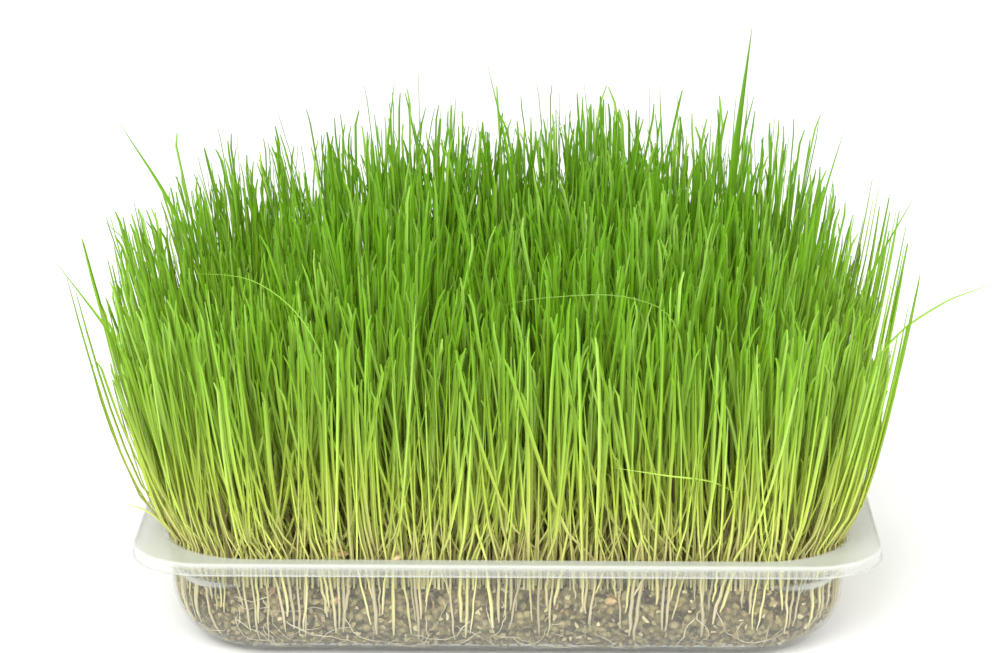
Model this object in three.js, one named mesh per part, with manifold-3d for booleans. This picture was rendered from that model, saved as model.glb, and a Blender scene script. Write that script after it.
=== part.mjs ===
// Wheatgrass in a clear food tray: about five hundred blades, in tufts rooted in a block of growing medium.
// Millimetres, +Z up. The origin is on the table under the middle of the tray, and +Y points to the back.
import * as THREE from "three";
import { mergeVertices } from "three/addons/utils/BufferGeometryUtils.js";
import Module from "manifold-3d";

const solids = await Module();
solids.setup();

// Tray: a thin formed shell with a flat flange, a short skirt turned down from it, and a large base fillet.
const TRAY_WIDTH = 270;
const TRAY_LENGTH = 190;
const TRAY_HEIGHT = 42;
const WALL = 1;
const SKIRT_DROP = 4.5;
const SKIRT_FLARE = 0.8;
const FLANGE_CORNER = 27; // smaller than the mouth's corner, so the flange widens to a tab there
const MOUTH_WIDTH = 248.4; // across the outside of the walls: the flange is wider at the tray's ends
const MOUTH_LENGTH = 177.2;
const MOUTH_CORNER = 34;
const CORNER_CLOSING = 0.9; // mm of corner radius lost for each mm inwards round the base
const SHOULDER_HEIGHT = 33;
const SHOULDER_STEP = 0.6;
const WALL_TAPER = 1.2;
const BASE_FILLET = 21;
const LIP_DEPTH = 1.4; // how far the mouth's inner edge rolls down before the wall
const FOLD_RADIUS = 0.7; // where the flange turns down into the skirt
const CORNER_STEPS = 6;
const FILLET_STEPS = 4;

// Growing medium: a crumbly block that fills the tray to a little below its rim.
const MEDIUM_TOP = 31;
const MEDIUM_EDGE_ROUND = 1.2; // how far its top edge stands back
const MEDIUM_SIDE_TOP = 27;
const MEDIUM_GAP = 0.5;
const CRUMB_DEPTH = 0.9;
const LUMP_HEIGHT = 1.1;
const MEDIUM_TOP_RINGS = [0.8, 0.5, 0.22]; // shares of its half size
const LONG_SIDE_STEPS = 8;
const SHORT_SIDE_STEPS = 6;

// Tufts: seedlings whose seeds and roots have knotted into one crown, each in a plain hole in the medium.
const TUFT_ROWS = 6;
const TUFTS_IN_LONG_ROW = 8;
const TUFT_JITTER = 1.6;
const CROWN_RADIUS = 11.5;
const CROWN_DEPTH = 13;
const CROWN_FOOT_RADIUS = 7;
const CROWN_SIDES = 6;
const HOLE_GAP = 0.4;
const HOLE_LIFT = 4; // the hole's cutter ends this far above the crown
const CROWN_LIFT = 0.7; // how far the crown stands out of the medium
const CROWN_TO_WALL = 1.6;

// Blades: a three-sided section that is nearly round at the stem and flattens to a keeled leaf.
const BLADES_PER_TUFT = 12;
const BLADE_WIDTH = 2.8;
const BLADE_KEEL = 0.85;
const STEM_WIDTH = 1.7;
const STEM_KEEL = 1.4;
const BLADE_STEPS = 3;
const BLADE_ROOT_DEPTH = 5;
const BLADE_CLEARANCE = 0.25;
const FOOT_SPACING = 3.3;
const FRONT_HEIGHT = 88;
const BACK_EXTRA_HEIGHT = 18;
const MIDDLE_EXTRA_HEIGHT = 16;
const SIDE_LEAN = 0.36;
const END_LEAN = 0.24;
const LEAN_SPREAD = 0.1;
const LEAN_CURVE = 2.2; // how suddenly the lean grows towards the sides
const PARTING_LEAN = 0.06; // the lean to the left in the middle of the sward
const SHORTEST = 0.74;
const TALLEST = 1.14;
const TIP_TAPER = 0.3;
const STRAY_FACE = 0.2; // radians from +X, so the reaching blades are seen broadside
const TRIES_PER_BLADE = 150;
const SEED = 4107;

const COLOURS = {
  tray: { color: 0xe9ebe4, roughness: 0.22, metalness: 0, transparent: true, opacity: 0.4 },
  medium: { color: 0x8c8262, roughness: 0.95, metalness: 0 },
  grass: { color: 0x76a52c, roughness: 0.6, metalness: 0 },
};

const { clamp, lerp, seededRandom } = THREE.MathUtils;
seededRandom(SEED);
const between = (low, high) => lerp(low, high, seededRandom());
const give = (most) => between(-most, most);
const UP = new THREE.Vector3(0, 0, 1);

// A closed skin through rings of equal length. A last ring of one point closes to a tip.
class LoftGeometry extends THREE.BufferGeometry {
  constructor(rings) {
    super();
    const count = rings[0].length;
    const last = rings.at(-1);
    const index = [];
    for (let r = 0; r + 1 < rings.length; r++) {
      for (let i = 0; i < count; i++) {
        const j = (i + 1) % count;
        const [a, b, c, d] = [r * count + i, r * count + j, (r + 1) * count + j, (r + 1) * count + i];
        if (rings[r + 1].length === 1) index.push(a, b, (r + 1) * count);
        else index.push(a, b, c, a, c, d);
      }
    }
    LoftGeometry.cap(rings[0], 0, true, index);
    if (last.length > 1) LoftGeometry.cap(last, (rings.length - 1) * count, false, index);
    this.setFromPoints(rings.flat());
    this.setIndex(index);
  }

  static cap(ring, first, facesDown, index) {
    const outline = ring.map((p) => new THREE.Vector2(p.x, p.y));
    for (const [a, b, c] of THREE.ShapeUtils.triangulateShape(outline, [])) {
      if (facesDown) index.push(first + c, first + b, first + a);
      else index.push(first + a, first + b, first + c);
    }
  }
}

// A manifold solid from a closed geometry, and a geometry from a solid.
function solidOf(geometry) {
  const merged = mergeVertices(new THREE.BufferGeometry().copy(geometry).deleteAttribute("normal"), 1e-4);
  return new solids.Manifold(
    new solids.Mesh({
      numProp: 3,
      vertProperties: new Float32Array(merged.attributes.position.array),
      triVerts: new Uint32Array(merged.index.array),
    }),
  );
}

function geometryOf(solid) {
  const { vertProperties, triVerts } = solid.getMesh();
  const geometry = new THREE.BufferGeometry();
  geometry.setAttribute("position", new THREE.BufferAttribute(vertProperties, 3));
  geometry.setIndex(new THREE.BufferAttribute(triVerts, 1));
  geometry.computeVertexNormals();
  return geometry;
}

// Half sizes in plan of the skirt's outline, and of the walls' outline where they leave the flange.
const RIM = { x: TRAY_WIDTH / 2, y: TRAY_LENGTH / 2 };
const MOUTH = { x: MOUTH_WIDTH / 2, y: MOUTH_LENGTH / 2 };

// A rounded outline moved in by inset, anticlockwise, with extra points along its straight sides.
function outline(half, inset, corner, z, longSteps = 1, shortSteps = 1) {
  const x = half.x - inset - corner;
  const y = half.y - inset - corner;
  const centres = [[x, y], [-x, y], [-x, -y], [x, -y]];
  const points = [];
  centres.forEach(([cx, cy], quarter) => {
    const start = (quarter * Math.PI) / 2;
    const arc = new THREE.EllipseCurve(cx, cy, corner, corner, start, start + Math.PI / 2);
    const steps = quarter % 2 === 0 ? longSteps : shortSteps;
    const [nx, ny] = centres[(quarter + 1) % 4];
    const straight = new THREE.Vector2(nx - cx, ny - cy);
    points.push(...arc.getPoints(CORNER_STEPS));
    for (let s = 1; s < steps; s++) points.push(arc.getPoint(1).addScaledVector(straight, s / steps));
  });
  return points.map((p) => new THREE.Vector3(p.x, p.y, z));
}

// The section of the wall from the base up to its shoulder, as [inset from the mouth, height], thickness mm
// inside the tray's outer skin.
const FOOT_INSET = SHOULDER_STEP + WALL_TAPER;

function filletSection(thickness) {
  const radius = BASE_FILLET - thickness;
  const steps = Array.from({ length: FILLET_STEPS + 1 }, (_, i) => (i / FILLET_STEPS) * (Math.PI / 2));
  return steps.map((t) => [
    FOOT_INSET + BASE_FILLET - radius * Math.sin(t),
    BASE_FILLET - radius * Math.cos(t),
  ]);
}

function sideSection(thickness) {
  return [
    ...filletSection(thickness),
    [SHOULDER_STEP + thickness, SHOULDER_HEIGHT - thickness * 0.4],
    [thickness, SHOULDER_HEIGHT + SHOULDER_STEP],
  ];
}

// A ring round the walls. Its corners are the mouth's at the wall, and tighter round the base.
function wallRing([inset, z], longSteps, shortSteps) {
  const corner = MOUTH_CORNER - CORNER_CLOSING * Math.max(0, inset - FOOT_INSET - WALL);
  return outline(MOUTH, inset, corner, z, longSteps, shortSteps);
}

function trayGeometry() {
  const under = TRAY_HEIGHT - WALL;
  const skirt = [
    [SKIRT_FLARE + WALL, under],
    [WALL, TRAY_HEIGHT - SKIRT_DROP],
    [0, TRAY_HEIGHT - SKIRT_DROP],
    [SKIRT_FLARE, TRAY_HEIGHT - FOLD_RADIUS],
    [SKIRT_FLARE + FOLD_RADIUS, TRAY_HEIGHT],
  ];
  const outside = [...sideSection(0), [0, under - LIP_DEPTH], [-LIP_DEPTH, under]];
  const inside = [
    [WALL - LIP_DEPTH, TRAY_HEIGHT],
    [WALL, TRAY_HEIGHT - LIP_DEPTH],
    ...sideSection(WALL).reverse(),
  ];
  return new LoftGeometry([
    ...outside.map((place) => wallRing(place)),
    ...skirt.map(([inset, z]) => outline(RIM, inset, FLANGE_CORNER, z)),
    ...inside.map((place) => wallRing(place)),
  ]);
}

// Height of the medium's lumpy top at a place on the tray.
function mediumTop(x, y) {
  return MEDIUM_TOP + LUMP_HEIGHT * Math.sin(x * 0.113 + 1.3) * Math.cos(y * 0.137 - 0.4);
}

// How far a grain on the medium's side stands back from the wall.
function crumb(point, ring) {
  return CRUMB_DEPTH * (0.5 + 0.5 * Math.sin(point.x * 1.7 + point.y * 2.3 + ring * 2.1));
}

function mediumSolid(holes) {
  const gap = WALL + MEDIUM_GAP;
  const side = [
    ...filletSection(gap),
    [FOOT_INSET + gap, MEDIUM_SIDE_TOP],
    [FOOT_INSET + gap + MEDIUM_EDGE_ROUND, MEDIUM_TOP - MEDIUM_EDGE_ROUND / 2],
  ];
  const rings = side.map((place, ring) =>
    wallRing(place, LONG_SIDE_STEPS, SHORT_SIDE_STEPS).map((p) => {
      const inward = ring === 0 ? 0 : crumb(p, ring) / Math.hypot(p.x, p.y);
      return new THREE.Vector3(p.x * (1 - inward), p.y * (1 - inward), p.z);
    }),
  );
  const rim = rings.at(-1);
  for (const share of MEDIUM_TOP_RINGS) {
    const ring = rim.map((p) => p.clone().multiplyScalar(share));
    rings.push(ring.map(({ x, y }) => new THREE.Vector3(x, y, mediumTop(x, y))));
  }
  rings.push([new THREE.Vector3(0, 0, mediumTop(0, 0))]);
  return solidOf(new LoftGeometry(rings)).subtract(solids.Manifold.union(holes));
}

// Places of the tufts: staggered rows, moved a little at random and kept inside the tray's rounded corners.
const TUFT_REACH = FOOT_INSET + WALL + CROWN_TO_WALL + CROWN_RADIUS;
const TUFT_HALF_X = MOUTH.x - TUFT_REACH;
const TUFT_HALF_Y = MOUTH.y - TUFT_REACH;
const TUFT_CORNER = MOUTH_CORNER - CROWN_RADIUS;

function keptInside(x, y) {
  const place = new THREE.Vector2(
    clamp(x, -TUFT_HALF_X, TUFT_HALF_X),
    clamp(y, -TUFT_HALF_Y, TUFT_HALF_Y),
  );
  const corner = new THREE.Vector2(
    Math.sign(place.x) * (TUFT_HALF_X - TUFT_CORNER),
    Math.sign(place.y) * (TUFT_HALF_Y - TUFT_CORNER),
  );
  const past = place.clone().sub(corner);
  const inCorner = past.x * corner.x > 0 && past.y * corner.y > 0;
  return inCorner && past.length() > TUFT_CORNER ? corner.add(past.setLength(TUFT_CORNER)) : place;
}

function tuftPlaces() {
  const places = [];
  for (let row = 0; row < TUFT_ROWS; row++) {
    const count = TUFTS_IN_LONG_ROW - (row % 2);
    const y = lerp(-TUFT_HALF_Y, TUFT_HALF_Y, row / (TUFT_ROWS - 1));
    const step = (2 * TUFT_HALF_X) / (TUFTS_IN_LONG_ROW - 1);
    for (let i = 0; i < count; i++) {
      const x = (i - (count - 1) / 2) * step;
      places.push(keptInside(x + give(TUFT_JITTER), y + give(TUFT_JITTER)));
    }
  }
  return places;
}

// A crown, or the hole that it stands in, from its section as rings of [radius, height].
function crownSolid({ place, turn }, section) {
  const corners = Array.from({ length: CROWN_SIDES }, (_, i) => turn + (i / CROWN_SIDES) * 2 * Math.PI);
  const rings = section.map(([radius, z]) =>
    corners.map((angle) => {
      const { x, y } = new THREE.Vector2(radius, 0).rotateAround({ x: 0, y: 0 }, angle).add(place);
      return new THREE.Vector3(x, y, z);
    }),
  );
  return solidOf(new LoftGeometry(rings));
}

// Lean and height of the blades at a place: the sward fans out, and is tallest in its middle and at the back.
const SWARD_HALF_X = TUFT_HALF_X + CROWN_RADIUS;
const SWARD_HALF_Y = TUFT_HALF_Y + CROWN_RADIUS;

function leanAt(x, y) {
  const [u, v] = [x / SWARD_HALF_X, y / SWARD_HALF_Y];
  return new THREE.Vector2(
    SIDE_LEAN * Math.sign(u) * Math.abs(u) ** LEAN_CURVE - PARTING_LEAN * Math.exp(-((u * 3) ** 2)),
    END_LEAN * Math.sign(v) * Math.abs(v) ** LEAN_CURVE,
  );
}

function heightAt(x, y) {
  const [u, v] = [x / SWARD_HALF_X, y / SWARD_HALF_Y];
  return FRONT_HEIGHT + (BACK_EXTRA_HEIGHT * (v + 1)) / 2 + MIDDLE_EXTRA_HEIGHT * (1 - u * u);
}

// A blade's centre line, from where it leaves the crown to its tip. It starts nearly upright, then leans.
function leaning(foot, tip) {
  const bend = foot.clone().lerp(tip, 0.2).setZ(lerp(foot.z, tip.z, 0.5));
  return new THREE.QuadraticBezierCurve3(foot, bend, tip).getPoints(BLADE_STEPS);
}

// Single blades that reach past the rest: the place of each foot, then the points up to the tip.
const STRAYS = [
  [[114, -34], [119, -35, 66], [136, -37, 104], [156, -38, 122], [178, -38, 131]],
  [[80, 42], [81, 42, 80], [85, 41, 150], [91, 40, 208]],
  [[-112, -38], [-122, -42, 72], [-141, -46, 108], [-163, -50, 142]],
  [[-108, 8], [-118, 8, 82], [-135, 6, 122], [-155, 4, 145]],
  [[-104, 38], [-114, 40, 92], [-130, 42, 136], [-150, 44, 170]],
  [[112, 6], [121, 7, 80], [135, 6, 120], [151, 4, 153]],
  [[104, 44], [110, 46, 92], [120, 48, 138], [128, 48, 168]],
  [[8, 44], [6, 44, 90], [0, 45, 150], [-9, 46, 193]],
  [[-50, 70], [-52, 72, 90], [-50, 76, 140], [-46, 80, 180]],
  [[36, 68], [36, 70, 90], [32, 72, 140], [28, 74, 182]],
  [[64, 70], [62, 74, 90], [60, 78, 136], [58, 82, 178]],
  [[-66, 70], [-67, 80, 80], [-69, 100, 126], [-71, 124, 156]],
  [[10, 70], [10, 80, 84], [11, 101, 130], [12, 124, 160]],
  [[84, 68], [85, 79, 80], [87, 100, 124], [90, 124, 152]],
  [[62, -70], [62, -80, 84], [59, -96, 129], [42, -104, 143], [14, -108, 144], [-4, -110, 141]],
  [[-62, -70], [-60, -84, 88], [-67, -100, 128], [-85, -108, 149], [-110, -114, 154]],
  [[84, -70], [84, -86, 60], [74, -98, 74], [54, -106, 80], [36, -110, 84]],
];

// Furthest that a blade's foot stands from the middle of its crown, so that it leaves by the crown's top.
const FOOT_REACH = CROWN_RADIUS * Math.cos(Math.PI / CROWN_SIDES) - 2.2;

// Three corners of a blade's section: two edges and a keel.
function bladeSection(point, ahead, face, width, keel) {
  const across = new THREE.Vector3(Math.cos(face), Math.sin(face), 0);
  across.addScaledVector(ahead, -across.dot(ahead)).normalize();
  const out = new THREE.Vector3().crossVectors(ahead, across);
  const corner = (side, rise) => point.clone().addScaledVector(across, side).addScaledVector(out, rise);
  return [corner(width / 2, -keel / 3), corner(0, (2 * keel) / 3), corner(-width / 2, -keel / 3)];
}

// A blade's solid round its centre line, with a root straight down from its foot; face is an angle in plan.
function bladeSolid({ line, face, width }) {
  const root = line[0].clone().addScaledVector(UP, -BLADE_ROOT_DEPTH);
  const rings = [root, line[0]].map((point) => bladeSection(point, UP, face, STEM_WIDTH, STEM_KEEL));
  line.slice(1, -1).forEach((point, i) => {
    const ahead = line[i + 2].clone().sub(line[i]).normalize();
    const share = (i + 1) / (line.length - 1);
    rings.push(bladeSection(point, ahead, face, width * (1 - TIP_TAPER * share ** 3), BLADE_KEEL));
  });
  return solidOf(new LoftGeometry([...rings, [line.at(-1)]]));
}

// Least distance between segments a-b and c-d.
function segmentGap(a, b, c, d) {
  const [u, v, w] = [b.clone().sub(a), d.clone().sub(c), a.clone().sub(c)];
  const [uu, uv, vv, uw, vw] = [u.dot(u), u.dot(v), v.dot(v), u.dot(w), v.dot(w)];
  const denominator = uu * vv - uv * uv;
  let s = denominator > 1e-9 ? clamp((uv * vw - vv * uw) / denominator, 0, 1) : 0;
  const t = clamp((uv * s + vw) / vv, 0, 1);
  s = clamp((uv * t - uw) / uu, 0, 1);
  return w.addScaledVector(u, s).addScaledVector(v, -t).length();
}

function linesClear(one, other, gap) {
  for (let i = 0; i + 1 < one.length; i++) {
    for (let j = 0; j + 1 < other.length; j++) {
      if (segmentGap(one[i], one[i + 1], other[j], other[j + 1]) < gap) return false;
    }
  }
  return true;
}

const placed = []; // every blade so far: its tuft, line, face and width
const clearOfAll = (line, width) =>
  placed.every((other) => linesClear(line, other.line, (width + other.width) / 2 + BLADE_CLEARANCE));

function plantStrays(tufts) {
  for (const [[x, y], ...rest] of STRAYS) {
    const away = (tuft) => tuft.place.distanceTo({ x, y });
    const near = tufts.reduce((best, tuft) => (away(tuft) < away(best) ? tuft : best));
    const inCrown = new THREE.Vector2(x, y).sub(near.place).clampLength(0, FOOT_REACH).add(near.place);
    const foot = new THREE.Vector3(inCrown.x, inCrown.y, near.top);
    const points = [foot, ...rest.map((passed) => new THREE.Vector3(...passed))];
    const line = new THREE.CatmullRomCurve3(points).getPoints(points.length + 1);
    placed.push({ tuft: near, line, face: STRAY_FACE, width: BLADE_WIDTH });
  }
}

function plantBlade(tuft) {
  for (let attempt = 0; attempt < TRIES_PER_BLADE; attempt++) {
    const reach = FOOT_REACH * Math.sqrt(seededRandom());
    const angle = between(0, 2 * Math.PI);
    const off = new THREE.Vector2(Math.cos(angle), Math.sin(angle)).multiplyScalar(reach);
    const [x, y] = [tuft.place.x + off.x, tuft.place.y + off.y];
    const height = heightAt(x, y) * between(SHORTEST, TALLEST);
    const lean = leanAt(x, y).add({ x: give(LEAN_SPREAD), y: give(LEAN_SPREAD) });
    const foot = new THREE.Vector3(x, y, tuft.top);
    const reachOut = lean.multiplyScalar(height).add(off);
    const tip = foot.clone().add({ x: reachOut.x, y: reachOut.y, z: height });
    const width = BLADE_WIDTH * between(0.85, 1.1);
    const line = leaning(foot, tip);
    const spaced = placed.every((b) => b.tuft !== tuft || b.line[0].distanceTo(foot) > FOOT_SPACING);
    if (spaced && clearOfAll(line, width)) {
      placed.push({ tuft, line, face: between(0, 2 * Math.PI), width });
      return;
    }
  }
}

function makeTufts() {
  const tufts = tuftPlaces().map((place) => ({
    place,
    top: mediumTop(place.x, place.y) + CROWN_LIFT,
    turn: between(0, Math.PI),
  }));
  plantStrays(tufts);
  for (let round = 0; round < BLADES_PER_TUFT; round++) tufts.forEach(plantBlade);
  return tufts;
}

// A crown widens steadily from its foot to its top, and its hole does the same, a gap outside it.
const CROWN_TAPER = (CROWN_RADIUS - CROWN_FOOT_RADIUS) / CROWN_DEPTH;

function crownSection(top, gap, lift) {
  const outside = (gap * Math.hypot(1, CROWN_TAPER)) / Math.cos(Math.PI / CROWN_SIDES);
  return [
    [CROWN_FOOT_RADIUS + outside - CROWN_TAPER * gap, top - CROWN_DEPTH - gap],
    [CROWN_RADIUS + outside + CROWN_TAPER * lift, top + lift],
  ];
}

function piece(name, geometry, look) {
  const made = new THREE.Mesh(geometry, new THREE.MeshStandardMaterial(look));
  made.name = name;
  return made;
}

// A tuft's crown with its blades fused into it.
function tuftSolid(tuft) {
  const blades = placed.filter((blade) => blade.tuft === tuft).map(bladeSolid);
  return solids.Manifold.union([crownSolid(tuft, crownSection(tuft.top, 0, 0)), ...blades]);
}

const tufts = makeTufts();
const holes = tufts.map((tuft) => crownSolid(tuft, crownSection(tuft.top, HOLE_GAP, HOLE_LIFT)));
const wheatgrass = new THREE.Group();
wheatgrass.add(piece("tray", trayGeometry(), COLOURS.tray));
wheatgrass.add(piece("growing_medium", geometryOf(mediumSolid(holes)), COLOURS.medium));
tufts.forEach((tuft, i) => {
  const number = String(i + 1).padStart(2, "0");
  wheatgrass.add(piece(`grass_tuft_${number}`, geometryOf(tuftSolid(tuft)), COLOURS.grass));
});

export default wheatgrass;
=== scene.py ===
"""Wheatgrass in a clear food tray: formed sheet, crumbly growing medium, roots, kernels and a dense sward.

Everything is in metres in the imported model's frame: +X along the tray, +Y to the back, +Z up.
"""
import bisect
import math
import random

import bpy
from mathutils import Matrix, Vector, noise


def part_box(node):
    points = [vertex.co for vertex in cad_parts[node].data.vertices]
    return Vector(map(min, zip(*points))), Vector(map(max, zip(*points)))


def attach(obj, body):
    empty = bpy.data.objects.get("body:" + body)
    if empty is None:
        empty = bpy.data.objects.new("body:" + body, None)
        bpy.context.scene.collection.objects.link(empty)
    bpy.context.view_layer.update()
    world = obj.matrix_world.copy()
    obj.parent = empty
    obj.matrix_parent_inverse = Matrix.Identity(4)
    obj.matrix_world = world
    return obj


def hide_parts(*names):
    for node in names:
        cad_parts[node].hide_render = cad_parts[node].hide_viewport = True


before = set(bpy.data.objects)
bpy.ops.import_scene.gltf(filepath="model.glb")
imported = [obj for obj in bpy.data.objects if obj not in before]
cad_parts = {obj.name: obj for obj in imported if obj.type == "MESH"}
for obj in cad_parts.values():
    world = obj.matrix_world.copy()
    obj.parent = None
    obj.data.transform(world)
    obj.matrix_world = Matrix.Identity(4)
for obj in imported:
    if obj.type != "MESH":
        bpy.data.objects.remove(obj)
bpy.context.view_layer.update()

bl_info = {
    "name": "Wheatgrass Tray",
    "version": (1, 0, 0),
    "blender": (4, 5, 0),
    "location": "3D View > Sidebar > Wheatgrass",
    "description": "Builds a clear tray of growing medium with a dense sward of wheatgrass",
    "category": "Add Mesh",
}

MM = 0.001
BODY = "root"
TRAY_LOW, TRAY_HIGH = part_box("tray")
TUFT_NODES = sorted(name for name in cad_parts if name.startswith("grass_tuft_"))
MATHS, VECTORS, RANDOM = "ShaderNodeMath", "ShaderNodeVectorMath", "FunctionNodeRandomValue"


def linear(code):
    """A sRGB hex colour such as "76a52c" as linear red, green, blue and alpha."""
    channels = [int(code[i:i + 2], 16) / 255 for i in (0, 2, 4)]
    return tuple(c / 12.92 if c <= 0.04045 else ((c + 0.055) / 1.055) ** 2.4 for c in channels) + (1.0,)


def length(name, description, default):
    """A property that holds a length in metres."""
    return bpy.props.FloatProperty(
        name=name, description=description, default=default, min=0.0, precision=5, unit="LENGTH"
    )


def colour(name, description, code):
    """A property that holds a linear colour."""
    return bpy.props.FloatVectorProperty(
        name=name, description=description, default=linear(code), size=4, subtype="COLOR", min=0.0, max=1.0
    )


def fraction(name, description, default, least=0.0):
    """A property that holds a share of one."""
    return bpy.props.FloatProperty(
        name=name, description=description, default=default, min=least, max=1.0, subtype="FACTOR"
    )


class WheatgrassTraySettings(bpy.types.PropertyGroup):
    """Sizes and colours of the formed sheet tray."""

    width: length("Width", "Outer width of the flange", TRAY_HIGH.x - TRAY_LOW.x)
    depth: length("Length", "Outer front-to-back length of the flange", TRAY_HIGH.y - TRAY_LOW.y)
    height: length("Height", "Height of the flange above the table", TRAY_HIGH.z)
    mouth_width: length("Mouth width", "Width across the outside of the walls", 248.4 * MM)
    mouth_length: length("Mouth length", "Front-to-back length across the outside of the walls", 177.2 * MM)
    sheet: length("Sheet", "Thickness of the formed sheet", 0.7 * MM)
    skirt: length("Skirt", "Drop of the skirt turned down from the flange", 4.5 * MM)
    flare: length("Skirt flare", "How far the skirt's foot stands out", 0.5 * MM)
    flange_corner: length("Flange corner", "Outer corner radius in plan", 27 * MM)
    mouth_corner: length("Mouth corner", "Corner radius of the mouth in plan", 34 * MM)
    lip: length("Lip", "Radius of the roll from the flange down into the wall", 0.8 * MM)
    fillet: length("Base fillet", "Radius between the wall and the base", 21 * MM)
    tint: colour("Sheet tint", "Colour of the milky sheet", "bbbdb6")


class WheatgrassMediumSettings(bpy.types.PropertyGroup):
    """Sizes and colours of the growing medium, its flakes, roots and kernels."""

    gap: length("Gap", "Clearance between the medium's body and the tray's inner wall", 1.1 * MM)
    grain: length("Grain", "Size of the crumbs in the medium", 2.5 * MM)
    relief: length("Relief", "Depth of the crumbs", 1.6 * MM)
    flake: length("Flake", "Size of the largest loose flakes", 3.9 * MM)
    flake_spacing: length("Flake spacing", "Least distance between flakes", 2.4 * MM)
    root_width: length("Root width", "Thickness of a root", 0.36 * MM)
    kernel: length("Kernel", "Length of a wheat kernel", 6.6 * MM)
    # The darkest crumbs, drawn at random by their tone; the darkness of the crevices is painted shade in
    # the medium's material.
    dark: colour("Dark crumbs", "Damp crevices between the crumbs", "43391f")
    middle: colour("Crumbs", "Most of the crumbs", "7f744e")
    pale: colour("Pale flakes", "Dry mineral flakes and husk", "9d9165")
    root: colour("Roots", "Young roots", "d3ceb2")


class WheatgrassSwardSettings(bpy.types.PropertyGroup):
    """Sizes and colours of the grass."""

    spacing: length("Spacing", "Least distance between two seedlings", 1.4 * MM)
    blade: length("Blade width", "Width of a full blade", 1.15 * MM)
    tall: length("Height", "Height of the tallest part of the sward above the medium", 154 * MM)
    front: fraction("Front share", "Height of the front as a share of the back's", 0.78, 0.1)
    dried: fraction("Dried share", "Share of the blades that stayed short and dried", 0.05)
    straw: colour("Straw", "Foot of the stems", "e2d6ae")
    young: colour("Young green", "Lower part of the blades", "c2d654")
    green: colour("Green", "Upper part of the blades", "7ab41c")
    seed: bpy.props.IntProperty(name="Seed", description="Seed of every random draw", default=11, min=0)


class WheatgrassStudioSettings(bpy.types.PropertyGroup):
    """Light and floor."""

    key: bpy.props.FloatProperty(
        name="Key light", description="Strength of the large front light", default=26.0, min=0.0,
        unit="POWER",
    )
    sky: bpy.props.FloatProperty(
        name="Sky", description="Strength of the white surroundings", default=1.0, min=0.0,
    )
    floor: colour("Floor", "Colour of the floor", "f4f4f2")


def add(tree, kind, links=None, stops=(), **settings):
    """Adds a node with its settings and links.

    links gives its inputs, as a list in their order or by name and number. Each is a value, a socket, or a
    node, whose first live output is meant. stops are the places and values of a colour ramp or float curve.
    """
    made = tree.nodes.new(kind)
    for name, value in settings.items():
        setattr(made, name, value)
    if isinstance(links, list):
        links = dict(enumerate(links))
    for key, value in (links or {}).items():
        if isinstance(value, bpy.types.Node):
            value = next(socket for socket in value.outputs if socket.enabled)
        taken = made.inputs[key] if isinstance(key, int) else next(
            socket for socket in made.inputs if socket.enabled and socket.name == key
        )
        if isinstance(value, bpy.types.NodeSocket):
            tree.links.new(value, taken)
        else:
            taken.default_value = value
    for number, (place, value) in enumerate(stops):
        if kind == "ShaderNodeValToRGB":
            points = made.color_ramp.elements
            point = points[number] if number < len(points) else points.new(place)
            point.position, point.color = place, value
        else:
            points = made.mapping.curves[0].points
            point = points[number] if number < len(points) else points.new(place, value)
            point.location = (place, value)
            made.mapping.update()
    return made


def chain(tree, kind, value, *steps):
    """Adds maths nodes one after another, each as its operation and what it takes beside the value."""
    for operation, *others in steps:
        value = add(tree, kind, [value, *others], operation=operation)
    return value


def new_material(name):
    """A new material, its node tree and the object coordinates in it."""
    made = bpy.data.materials.new(name)
    made.use_nodes = True
    tree = made.node_tree
    tree.nodes.clear()
    return made, tree, add(tree, "ShaderNodeTexCoord").outputs["Object"]


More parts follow.
